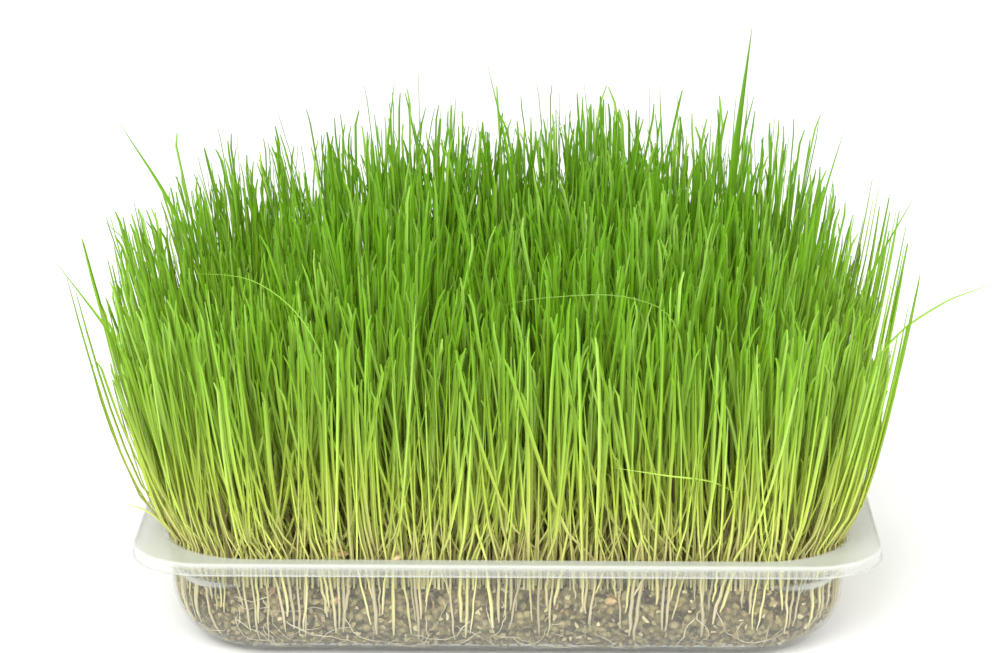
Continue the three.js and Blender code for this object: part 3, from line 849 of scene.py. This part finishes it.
# How high seedlings get by luck, how their rings lie along them, and how broad and thick they are there.
LUCK = ((0, 0.2), (0.06, 0.48), (0.2, 0.68), (0.45, 0.8), (0.75, 0.89), (0.94, 0.97), (1, 1))
RINGS_ALONG = ((0, 0), (0.5, 0.52), (0.78, 0.86), (0.89, 0.965), (1, 1))
BREADTH = (
    (0, 0.85), (0.12, 0.8), (0.3, 0.85), (0.5, 0.95), (0.75, 1.0), (0.9, 0.95), (0.97, 0.82), (1, 0.42),
)
THICKNESS = ((0, 0.4), (0.2, 0.36), (0.45, 0.22), (0.9, 0.14), (1, 0.05))
BLADE_RINGS = 8


def blade_tree(material):
    """A field of blades that grow from the points of a patch, by one rule for lean, height and section."""
    tree, given = new_tree("wheat_blades", {
        "Spacing": ("Float", 1.4 * MM), "Seed": ("Int", 0), "Blade Width": ("Float", 1.15 * MM),
        "Height": ("Float", 154 * MM), "Front Share": ("Float", 0.78), "Dried Share": ("Float", 0.05),
        "Half Size": ("Vector", (0.12, 0.085, 1.0)), "Lean": ("Vector", LEAN),
        "Least Lean": ("Vector", LEAN_LEAST), "Most Lean": ("Vector", LEAN_MOST),
        "Lean Spread": ("Float", LEAN_SPREAD), "Rim Clearance": ("Float", 12.6 * MM),
    })
    points = add(tree, "GeometryNodeDistributePointsOnFaces", {
        "Mesh": given["Geometry"], "Distance Min": given["Spacing"], "Density Max": 900000.0,
        "Seed": given["Seed"],
    }, distribute_method="POISSON")
    foot = add(tree, "GeometryNodeInputPosition")
    share = add(tree, VECTORS, [foot, given["Half Size"]], operation="DIVIDE")
    u, v, _ = add(tree, "ShaderNodeSeparateXYZ", [share]).outputs
    tone = add(tree, RANDOM, {"Seed": 24}, data_type="FLOAT")

    # The height: by place across and front to back, in soft clumps, and by luck.
    from_left = add(tree, "ShaderNodeMapRange", {"Value": u, "From Min": -1.0})
    crest = add(tree, "ShaderNodeFloatCurve", {"Value": from_left}, stops=CREST)
    from_front = add(tree, "ShaderNodeMapRange", {
        "Value": v, "From Min": -1.0, "To Min": given["Front Share"],
    })
    clumps = add(tree, "ShaderNodeTexNoise", {"Vector": foot, "Scale": 1 / (26 * MM), "Detail": 1.0})
    rolling = add(tree, MATHS, [clumps, 0.5, 0.75], operation="MULTIPLY_ADD")
    chance = add(tree, RANDOM, {"Seed": 21}, data_type="FLOAT")
    luck = add(tree, "ShaderNodeFloatCurve", {"Value": chance}, stops=LUCK)
    dried = chain(tree, MATHS, tone, ("LESS_THAN", given["Dried Share"]), ("MULTIPLY_ADD", -0.6, 1.0))
    factors = (given["Height"], from_front, rolling, luck, dried)
    tall = chain(tree, MATHS, crest, *(("MULTIPLY", factor) for factor in factors))

    # The lean: outwards near the edge only, swaying with the neighbours, and loose by itself.
    square = add(tree, VECTORS, [share, share], operation="MULTIPLY")
    factors = (square, square, square, given["Lean"])
    fan = chain(tree, VECTORS, share, *(("MULTIPLY", factor) for factor in factors))
    sway = add(tree, "ShaderNodeTexNoise", {"Vector": foot, "Scale": 1 / (33 * MM), "Detail": 0.0})
    sway = add(tree, VECTORS, [sway.outputs["Color"], (0.55, 0.5, 0.5)], operation="SUBTRACT")
    swayed = add(tree, VECTORS, [sway, (0.22, 0.2, 0.0), fan], operation="MULTIPLY_ADD")
    stray, bow = (
        add(tree, RANDOM, {
            "Min": (-1.0, -1.0, 0.0), "Max": (1.0, 1.0, 0.0), "Seed": seed,
        }, data_type="FLOAT_VECTOR")
        for seed in (22, 23)
    )
    lean = chain(
        tree, VECTORS, stray, ("MULTIPLY", stray), ("MULTIPLY_ADD", (1.6, 1.6, 0.0), (0.55, 0.55, 0.0)),
        ("MULTIPLY", stray), ("MULTIPLY_ADD", given["Lean Spread"], swayed),
        ("MINIMUM", given["Most Lean"]), ("MAXIMUM", given["Least Lean"]),
    )
    slack = add(tree, MATHS, [tall, 0.022], operation="MULTIPLY")

    # What each blade keeps from its seedling.
    marks = {
        "foot": ("FLOAT_VECTOR", foot),
        "reach": ("FLOAT_VECTOR", add(tree, VECTORS, {0: lean, "Scale": tall}, operation="SCALE")),
        "bow": ("FLOAT_VECTOR", add(tree, VECTORS, {0: bow, "Scale": slack}, operation="SCALE")),
        "tall": ("FLOAT", tall),
        "tone": ("FLOAT", tone),
    }
    for label, low, high, seed in (
        ("face", 0.0, math.tau, 25), ("twist", -0.7, 0.7, 26), ("girth", 0.8, 1.2, 27),
        ("hook", -1.0, 1.0, 28),
    ):
        drawn = add(tree, RANDOM, {"Min": low, "Max": high, "Seed": seed}, data_type="FLOAT")
        marks[label] = ("FLOAT", drawn)
    kept = points
    for label, (kind, value) in marks.items():
        kept = add(tree, "GeometryNodeStoreNamedAttribute", {
            "Geometry": kept, "Name": label, "Value": value,
        }, domain="POINT", data_type=kind)
    tube = add(tree, "GeometryNodeMeshCylinder", {
        "Vertices": 3, "Side Segments": BLADE_RINGS, "Fill Segments": 1, "Radius": 1.0, "Depth": 1.0,
    }, fill_type="NGON")
    template = add(tree, "GeometryNodeStoreNamedAttribute", {
        "Geometry": tube, "Name": "section", "Value": foot,
    }, domain="POINT", data_type="FLOAT_VECTOR")
    placed = add(tree, "GeometryNodeInstanceOnPoints", {"Points": kept, "Instance": template})
    real = add(tree, "GeometryNodeRealizeInstances", {"Geometry": placed})

    # Each point of a blade, from its place in the three-sided template: ridge, side and way along.
    kinds = {label: kind for label, (kind, _) in marks.items()} | {"section": "FLOAT_VECTOR"}
    own = {
        label: add(tree, "GeometryNodeInputNamedAttribute", {"Name": label}, data_type=kind)
        for label, kind in kinds.items()
    }
    ridge, edge, level = add(tree, "ShaderNodeSeparateXYZ", [own["section"]]).outputs
    side = add(tree, MATHS, [edge, 2 / math.sqrt(3)], operation="MULTIPLY")
    raised = add(tree, MATHS, [level, 0.5], operation="ADD")
    along = add(tree, "ShaderNodeFloatCurve", {"Value": raised}, stops=RINGS_ALONG)
    height = add(tree, MATHS, [along, own["tall"]], operation="MULTIPLY")
    leant = chain(
        tree, MATHS, height, ("SUBTRACT", given["Rim Clearance"]), ("MAXIMUM", 0.0),
        ("DIVIDE", own["tall"]), ("POWER", LEAN_BEND),
    )
    bowed = chain(tree, MATHS, along, ("MULTIPLY", 3.3), ("SINE",), ("MULTIPLY", along))
    girth = add(tree, MATHS, [own["girth"], given["Blade Width"]], operation="MULTIPLY")
    breadth = add(tree, "ShaderNodeFloatCurve", {"Value": along}, stops=BREADTH)
    half = chain(tree, MATHS, breadth, ("MULTIPLY", girth), ("MULTIPLY", 0.5))
    thickness = add(tree, "ShaderNodeFloatCurve", {"Value": along}, stops=THICKNESS)
    thick = add(tree, MATHS, [thickness, girth], operation="MULTIPLY")
    turn = add(tree, MATHS, [own["twist"], along, own["face"]], operation="MULTIPLY_ADD")
    cosine = add(tree, MATHS, [turn], operation="COSINE")
    sine = add(tree, MATHS, [turn], operation="SINE")
    across = add(tree, "ShaderNodeCombineXYZ", [cosine, sine])
    backwards = add(tree, MATHS, [sine, -1.0], operation="MULTIPLY")
    outward = add(tree, "ShaderNodeCombineXYZ", [backwards, cosine])
    tip = add(tree, "ShaderNodeMapRange", {"Value": along, "From Min": 0.95, "To Max": 1.8 * MM})
    hooked = add(tree, MATHS, [tip, own["hook"]], operation="MULTIPLY")
    sideways = add(tree, MATHS, [side, half, hooked], operation="MULTIPLY_ADD")
    ridged = add(tree, MATHS, [ridge, thick], operation="MULTIPLY")
    reach = own["reach"]
    far = add(tree, VECTORS, [reach, reach], operation="DOT_PRODUCT")
    drooping = chain(tree, MATHS, along, ("POWER", 3.0), ("MULTIPLY", -2.2))
    rise = add(tree, MATHS, [far, drooping, height], operation="MULTIPLY_ADD")
    lifted = add(tree, "ShaderNodeCombineXYZ", {2: rise})
    line = add(tree, VECTORS, [own["foot"], lifted], operation="ADD")
    for way, amount in ((reach, leant), (own["bow"], bowed), (across, sideways), (outward, ridged)):
        line = add(tree, VECTORS, [way, amount, line], operation="MULTIPLY_ADD")
    shaped = add(tree, "GeometryNodeSetPosition", {"Geometry": real, "Position": line})
    # Painted light and shade: one long edge of each blade is stored lighter than the other, for the leaf
    # material to read.
    side_painted = add(tree, "GeometryNodeStoreNamedAttribute", {
        "Geometry": shaped, "Name": "streak",
        "Value": add(tree, MATHS, [side, 0.5, 0.5], operation="MULTIPLY_ADD"),
    }, domain="POINT", data_type="FLOAT")
    return closed(tree, side_painted, material)


def tuft_place(node):
    """Middle of a tuft's crown in plan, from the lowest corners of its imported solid."""
    corners = [v.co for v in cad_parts[node].data.vertices]
    floor = min(c.z for c in corners) + 0.3 * MM
    foot = [c for c in corners if c.z < floor]
    return sum((Vector((c.x, c.y)) for c in foot), Vector((0, 0))) / len(foot)


def nearer_part(shape, middle, other):
    """The part of a convex polygon that lies nearer to one place than to another."""
    edge = (middle + other) / 2
    away = other - middle
    kept = []
    for a, b in zip(shape, shape[1:] + shape[:1]):
        da, db = (a - edge).dot(away), (b - edge).dot(away)
        if da <= 0:
            kept.append(a)
        if (da < 0 < db) or (db < 0 < da):
            kept.append(a + (b - a) * (da / (da - db)))
    return kept


class WHEATGRASS_OT_sward(bpy.types.Operator):
    """Grow the tufts of grass, each from its own part of the medium"""

    bl_idname = "wheatgrass.sward"
    bl_label = "Grass"

    def execute(self, context):
        tray, sward = context.scene.wheatgrass_tray, context.scene.wheatgrass_sward
        inset = FOOT_INSET + tray.sheet + 0.5 * MM
        edge = [p.to_2d() for p in wall_ring(tray, inset, 0, 6, (1, 1))]
        half = (tray.mouth_width / 2 - inset, tray.mouth_length / 2 - inset, 1.0)
        tree = blade_tree(grass_material(sward))
        places = {node: tuft_place(node) for node in TUFT_NODES}
        for number, (node, middle) in enumerate(places.items()):
            cell = edge
            for other in places.values():
                if other is not middle:
                    cell = nearer_part(cell, middle, other)
            patch = mesh_object("patch", [(p.x, p.y, FOOT_LEVEL) for p in cell], [tuple(range(len(cell)))])
            piece = grow(tree, patch, node + "_blades", {
                "Spacing": sward.spacing, "Seed": sward.seed + 7 * number, "Blade Width": sward.blade,
                "Height": sward.tall, "Front Share": sward.front, "Dried Share": sward.dried,
                "Half Size": half, "Rim Clearance": tray.height - FOOT_LEVEL,
            })
            drop(patch, piece, (
                "foot", "reach", "bow", "tall", "face", "twist", "girth", "hook", "section",
            ))
            part_piece(piece, "grass", node)
        return {"FINISHED"}


class WHEATGRASS_OT_roots(bpy.types.Operator):
    """Lay young roots against the tray's wall, fillet and base"""

    bl_idname = "wheatgrass.roots"
    bl_label = "Roots"

    NUMBER = 230
    STEP = 2.3 * MM
    HIGHEST, LOWEST = 9 * MM, 90 * MM

    def execute(self, context):
        tray, medium = context.scene.wheatgrass_tray, context.scene.wheatgrass_medium
        skin = TraySkin(tray, 0.3 * MM)
        chance = random.Random(context.scene.wheatgrass_sward.seed)
        strands = []
        for _ in range(self.NUMBER):
            around, down = chance.uniform(0, skin.round), chance.uniform(9, 60) * MM
            heading = chance.gauss(math.pi / 2, 0.7)
            steps = chance.randint(7, 20)
            path = []
            for _ in range(steps):
                path.append(skin.place(around, down))
                heading += chance.gauss(0, 0.35)
                around += self.STEP * math.cos(heading)
                down = min(max(down + self.STEP * math.sin(heading), self.HIGHEST), self.LOWEST)
            girth = chance.uniform(0.6, 1.3)
            widths = [girth * (1 - 0.55 * i / steps) for i in range(steps)]
            widths[0] = widths[-1] = 0.2
            strands.append((path, widths, chance.random(), 0.0))
        tree = strand_tree("root_strands", root_material(medium), 5, 1.0, 0.0)
        strand_piece("wall_roots", tree, strands, medium.root_width, "growing_medium")
        return {"FINISHED"}


class WHEATGRASS_OT_wall_row(bpy.types.Operator):
    """Grow the outermost seedlings, whose pale stems show behind the tray's wall"""

    bl_idname = "wheatgrass.wall_row"
    bl_label = "Seedlings at the wall"

    # Stems come up in bunches this far apart. BELOW and ABOVE are the girth along a seedling, behind the
    # wall and above the rim.
    BUNCH = 15 * MM
    BELOW = (0.5, 1.0, 1.2, 1.2, 1.15, 1.1, 1.0)
    ABOVE = (0.92, 0.92, 0.95, 1.0, 1.0, 0.85, 0.3)

    def execute(self, context):
        tray, sward = context.scene.wheatgrass_tray, context.scene.wheatgrass_sward
        skin = TraySkin(tray, 0.5 * MM)
        chance = random.Random(sward.seed + 1)
        half = (tray.mouth_width / 2, tray.mouth_length / 2)
        strands = []
        around = 0.0
        while around < skin.round:
            start = chance.uniform(11, 33) * MM
            middle = (around // self.BUNCH + 0.5) * self.BUNCH
            pull = chance.uniform(0.1, 0.7) * (middle - around)
            path = []
            for i in range(len(self.BELOW)):
                deep = 1 - i / (len(self.BELOW) - 1)
                path.append(skin.place(around + pull * deep + chance.gauss(0, 0.2 * MM), start * deep))
            share = Vector((path[-1].x / half[0], path[-1].y / half[1], 0))
            lean = [
                chance.uniform(-spread, spread) + most * part ** 3
                for spread, most, part in zip((0.14, 0.1, 0.0), LEAN, share)
            ]
            lean = Vector(min(max(c, least), most) for c, least, most in zip(lean, LEAN_LEAST, LEAN_MOST))
            height = chance.uniform(35, 100) * MM
            top = path[-1] - share.normalized() * 0.3 * MM
            top.z = tray.height
            for i in range(len(self.ABOVE)):
                rise = i / (len(self.ABOVE) - 1)
                path.append(top + lean * height * rise ** LEAN_BEND + Vector((0, 0, height * rise)))
            girth = chance.uniform(0.75, 1.2)
            widths = [w * girth for w in self.BELOW + self.ABOVE]
            strands.append((path, widths, chance.uniform(0.08, 1), chance.uniform(0, math.tau)))
            around += chance.uniform(1.1, 3.9) * MM
        tree = strand_tree("wall_row_strands", bpy.data.materials["wheat_leaf"], 4, 0.6, 0.1)
        strand_piece("wall_row_blades", tree, strands, sward.blade, "grass")
        return {"FINISHED"}


def kernel_tree(material):
    """Kernels on the points of the source mesh: plump, pointed at one end, creased along one side."""
    tree, given = new_tree("wheat_kernels", {"Length": ("Float", 6.6 * MM)})
    ball = add(tree, "GeometryNodeMeshUVSphere", {"Segments": 8, "Rings": 7, "Radius": 1.0})
    x, y, z = add(tree, "ShaderNodeSeparateXYZ", [add(tree, "GeometryNodeInputPosition")]).outputs
    taper = add(tree, MATHS, [z, -0.08, 0.27], operation="MULTIPLY_ADD")
    upper = add(tree, MATHS, [y, 0.0], operation="GREATER_THAN")
    creased = chain(
        tree, MATHS, x, ("ABSOLUTE",), ("LESS_THAN", 0.1), ("MULTIPLY", upper),
        ("MULTIPLY_ADD", -0.45, 1.0), ("MULTIPLY", y), ("MULTIPLY", taper),
    )
    shape = add(tree, "ShaderNodeCombineXYZ", [
        chain(tree, MATHS, z, ("MULTIPLY", 0.5)), chain(tree, MATHS, x, ("MULTIPLY", taper)), creased,
    ])
    kernel = add(tree, "GeometryNodeSetPosition", {"Geometry": ball, "Position": shape})
    turn = add(tree, "GeometryNodeInputNamedAttribute", {"Name": "turn"}, data_type="FLOAT_VECTOR")
    size = add(tree, RANDOM, {"Min": 0.8, "Max": 1.1, "Seed": 2}, data_type="FLOAT")
    placed = add(tree, "GeometryNodeInstanceOnPoints", {
        "Points": given["Geometry"], "Instance": kernel, "Rotation": turn,
        "Scale": add(tree, MATHS, [size, given["Length"]], operation="MULTIPLY"),
    })
    real = add(tree, "GeometryNodeRealizeInstances", {"Geometry": placed})
    smooth = add(tree, "GeometryNodeSetShadeSmooth", {"Geometry": real})
    return closed(tree, smooth, material)


class WHEATGRASS_OT_kernels(bpy.types.Operator):
    """Drop wheat kernels on the growing medium"""

    bl_idname = "wheatgrass.kernels"
    bl_label = "Kernels"

    # Two that the stems have lifted onto the tray's lip: place in millimetres and turn.
    LIFTED = (((-59, -85.7, 43.0), (0.3, 0.1, 0.1)), ((-38.5, -85.8, 41.8), (0.2, -0.4, 0.5)))
    # How many lie on top, how far out from the middle, and how many lie at the wall.
    ON_TOP = 150
    REACH = (112, 76)
    AT_WALL = 3
    # Half the thickness of a kernel, and of one at the wall with its clearance.
    RAISED, AWAY = 1.1 * MM, 1.6 * MM

    def execute(self, context):
        tray, medium = context.scene.wheatgrass_tray, context.scene.wheatgrass_medium
        chance = random.Random(context.scene.wheatgrass_sward.seed + 2)
        places, turns = [], []
        for place, turn in self.LIFTED:
            places.append([c * MM for c in place])
            turns += turn
        for _ in range(self.ON_TOP):
            x, y = (chance.uniform(-far, far) * MM for far in self.REACH)
            places.append((x, y, medium_top(x, y) + self.RAISED))
            turns += (chance.uniform(0, math.tau), chance.gauss(0, 0.4), chance.uniform(0, math.tau))
        skin = TraySkin(tray, self.AWAY)
        for _ in range(self.AT_WALL):
            place = skin.place(chance.uniform(0, skin.round), chance.uniform(9, 20) * MM)
            places.append(tuple(place))
            turns += (chance.uniform(0, math.tau), chance.gauss(0, 0.6), math.atan2(place.x, -place.y))
        spots = mesh_object("places", places, [])
        spots.data.attributes.new("turn", "FLOAT_VECTOR", "POINT").data.foreach_set("vector", turns)
        piece = grow(kernel_tree(kernel_material()), spots, "wheat_kernels", {"Length": medium.kernel})
        drop(spots, piece, ("turn",))
        part_piece(piece, "growing_medium")
        return {"FINISHED"}


# Single blades that stand out of the rest: width as a share of a full blade's, tone, and the corners of the
# middle line in millimetres, foot first.
STRAY_BLADES = (
    (1.0, 0.7, ((114, -34, 30), (119, -35, 66), (136, -37, 104), (156, -38, 122), (178, -38, 131))),
    (2.6, 0.06, ((80, 42, 30), (81, 42, 80), (85, 41, 150), (91, 40, 208))),
    (1.2, 0.4, ((-112, -38, 30), (-122, -42, 72), (-141, -46, 108), (-163, -50, 142))),
    (1.0, 0.5, ((-108, 8, 30), (-118, 8, 82), (-135, 6, 122), (-155, 4, 145))),
    (1.3, 0.4, ((-104, 38, 30), (-114, 40, 92), (-130, 42, 136), (-150, 44, 170))),
    (1.0, 0.5, ((112, 6, 30), (121, 7, 80), (135, 6, 120), (151, 4, 153))),
    (0.8, 0.5, ((104, 44, 30), (110, 46, 92), (120, 48, 138), (128, 48, 168))),
    (1.3, 0.5, ((8, 44, 30), (6, 44, 90), (0, 45, 150), (-9, 46, 193))),
    (1.4, 0.5, ((-50, 70, 30), (-52, 72, 90), (-50, 76, 140), (-46, 80, 180))),
    (1.5, 0.5, ((36, 68, 30), (36, 70, 90), (32, 72, 140), (28, 74, 182))),
    (1.2, 0.5, ((64, 70, 30), (62, 74, 90), (60, 78, 136), (58, 82, 178))),
    (1.0, 0.4, ((-66, 70, 30), (-67, 80, 80), (-69, 100, 126), (-71, 124, 156))),
    (1.0, 0.6, ((10, 70, 30), (10, 80, 84), (11, 101, 130), (12, 124, 160))),
    (1.0, 0.3, ((84, 68, 30), (85, 79, 80), (87, 100, 124), (90, 124, 152))),
    (0.8, 1.0, (
        (62, -70, 30), (62, -80, 84), (59, -96, 129), (42, -104, 143), (14, -108, 144), (-4, -110, 141),
    )),
    (0.8, 0.9, ((-62, -70, 30), (-60, -84, 88), (-67, -100, 128), (-85, -108, 149), (-110, -114, 154))),
    (0.55, 1.0, ((-114, -58, 30), (-122, -60, 41), (-130, -60, 49), (-141, -60, 53))),
    (0.8, 1.0, ((84, -70, 30), (84, -86, 60), (74, -98, 74), (54, -106, 80), (36, -110, 84))),
)


def smooth_path(corners, steps):
    """Points on a Catmull-Rom curve through the corners."""
    ends = [corners[0] * 2 - corners[1]] + corners + [corners[-1] * 2 - corners[-2]]
    path = []
    for i in range(steps + 1):
        t = i / steps * (len(corners) - 1)
        k = min(int(t), len(corners) - 2)
        a, b, c, d = ends[k:k + 4]
        t -= k
        path.append(0.5 * (2 * b + (c - a) * t + (2 * a - 5 * b + 4 * c - d) * t * t
                           + (3 * b - a - 3 * c + d) * t ** 3))
    return path


class WHEATGRASS_OT_strays(bpy.types.Operator):
    """Grow the single blades that arch or stand out of the sward"""

    bl_idname = "wheatgrass.strays"
    bl_label = "Stray blades"

    STEPS = 26

    def execute(self, context):
        sward = context.scene.wheatgrass_sward
        chance = random.Random(sward.seed + 3)
        shares = [i / self.STEPS for i in range(self.STEPS + 1)]
        strands = []
        for girth, tone, corners in STRAY_BLADES:
            path = smooth_path([Vector(c) * MM for c in corners], self.STEPS)
            widths = [girth * min(1.0, 0.62 + 1.1 * t) * min(1.0, 0.05 + 3.2 * (1 - t)) for t in shares]
            strands.append((path, widths, tone, chance.uniform(0, math.tau)))
        tree = strand_tree("stray_strands", bpy.data.materials["wheat_leaf"], 4, 0.22, 0.3)
        strand_piece("stray_blades", tree, strands, sward.blade, "grass")
        return {"FINISHED"}


# The camera, as fitted to the photograph's tray. ACROSS and ABOVE move it sideways and up in its own plane.
LENS, SENSOR = 115.2, 36.0
AZIMUTH, ELEVATION = math.radians(0.81), math.radians(16.35)
DISTANCE, ACROSS, ABOVE = 1229.2 * MM, -3.53 * MM, 97.89 * MM
# Half the side of the floor, what the lights look at, and each light's place, size and share of the key's
# power.
FLOOR_HALF = 6.0
LIT_PLACE = (0, 0, 0.08)
LIGHTS = {
    "key_light": ((-0.5, -1.1, 1.0), 1.0, 1.0),
    "fill_light": ((0.9, -0.7, 0.6), 0.9, 0.35),
}


def camera_matrix(azimuth, elevation, distance, across, above):
    """The camera's place: it looks down by elevation, and is shifted across and above the axis."""
    level = math.cos(elevation)
    back = Vector((math.sin(azimuth) * level, -math.cos(azimuth) * level, math.sin(elevation)))
    right = Vector((math.cos(azimuth), math.sin(azimuth), 0))
    up = back.cross(right)
    turned = Matrix((right, up, back)).transposed().to_4x4()
    turned.translation = back * distance + right * across + up * above
    return turned


class WHEATGRASS_OT_stage(bpy.types.Operator):
    """Set up the floor, the lights and the camera"""

    bl_idname = "wheatgrass.stage"
    bl_label = "Studio"

    def execute(self, context):
        scene, studio = context.scene, context.scene.wheatgrass_studio
        corners = [(x * FLOOR_HALF, y * FLOOR_HALF, 0) for x, y in ((-1, -1), (1, -1), (1, 1), (-1, 1))]
        floor = mesh_object("studio_floor", corners, [(0, 1, 2, 3)], floor_material(studio))
        world = bpy.data.worlds.new("white_studio")
        world.use_nodes = True
        sky = world.node_tree.nodes["Background"]
        sky.inputs["Color"].default_value = (1, 1, 1, 1)
        sky.inputs["Strength"].default_value = studio.sky
        scene.world = world
        for label, (place, size, share) in LIGHTS.items():
            light = bpy.data.lights.new(label, "AREA")
            light.energy = studio.key * share
            light.size = size
            lamp = linked(label, light)
            lamp.location = place
            lamp.rotation_euler = (Vector(LIT_PLACE) - lamp.location).to_track_quat("-Z", "Y").to_euler()
        camera = bpy.data.cameras.new("camera")
        camera.lens = LENS
        camera.sensor_width = SENSOR
        camera.clip_end = 20.0
        viewer = linked("camera", camera)
        viewer.matrix_world = camera_matrix(AZIMUTH, ELEVATION, DISTANCE, ACROSS, ABOVE)
        scene.camera = viewer
        scene.view_settings.view_transform = "Standard"
        return {"FINISHED"}


class WHEATGRASS_PT_panel(bpy.types.Panel):
    """The parts of the wheatgrass tray, with their sizes and colours"""

    bl_label = "Wheatgrass Tray"
    bl_idname = "WHEATGRASS_PT_panel"
    bl_space_type = "VIEW_3D"
    bl_region_type = "UI"
    bl_category = "Wheatgrass"

    def draw(self, context):
        groups = (
            ("wheatgrass_studio", ("wheatgrass.stage",)),
            ("wheatgrass_tray", ("wheatgrass.tray",)),
            ("wheatgrass_medium", (
                "wheatgrass.medium", "wheatgrass.flakes", "wheatgrass.roots", "wheatgrass.kernels",
            )),
            ("wheatgrass_sward", ("wheatgrass.sward", "wheatgrass.wall_row", "wheatgrass.strays")),
        )
        for name, buttons in groups:
            box = self.layout.box()
            settings = getattr(context.scene, name)
            for key in settings.bl_rna.properties.keys():
                if key not in ("rna_type", "name"):
                    box.prop(settings, key)
            for button in buttons:
                box.operator(button)


CLASSES = (
    WheatgrassTraySettings,
    WheatgrassMediumSettings,
    WheatgrassSwardSettings,
    WheatgrassStudioSettings,
    WHEATGRASS_OT_tray,
    WHEATGRASS_OT_medium,
    WHEATGRASS_OT_flakes,
    WHEATGRASS_OT_roots,
    WHEATGRASS_OT_kernels,
    WHEATGRASS_OT_sward,
    WHEATGRASS_OT_wall_row,
    WHEATGRASS_OT_strays,
    WHEATGRASS_OT_stage,
    WHEATGRASS_PT_panel,
)
SETTINGS = {
    "wheatgrass_tray": WheatgrassTraySettings,
    "wheatgrass_medium": WheatgrassMediumSettings,
    "wheatgrass_sward": WheatgrassSwardSettings,
    "wheatgrass_studio": WheatgrassStudioSettings,
}


def register():
    """Registers the classes and gives the scene their settings."""
    for kind in CLASSES:
        bpy.utils.register_class(kind)
    for name, kind in SETTINGS.items():
        setattr(bpy.types.Scene, name, bpy.props.PointerProperty(type=kind))


def unregister():
    """Takes the settings and classes away again."""
    for name in SETTINGS:
        delattr(bpy.types.Scene, name)
    for kind in reversed(CLASSES):
        bpy.utils.unregister_class(kind)


def main():
    """Builds everything in order."""
    register()
    bpy.ops.wheatgrass.stage()
    bpy.ops.wheatgrass.tray()
    bpy.ops.wheatgrass.medium()
    bpy.ops.wheatgrass.flakes()
    bpy.ops.wheatgrass.roots()
    bpy.ops.wheatgrass.kernels()
    bpy.ops.wheatgrass.sward()
    bpy.ops.wheatgrass.wall_row()
    bpy.ops.wheatgrass.strays()


if __name__ == "__main__":
    main()
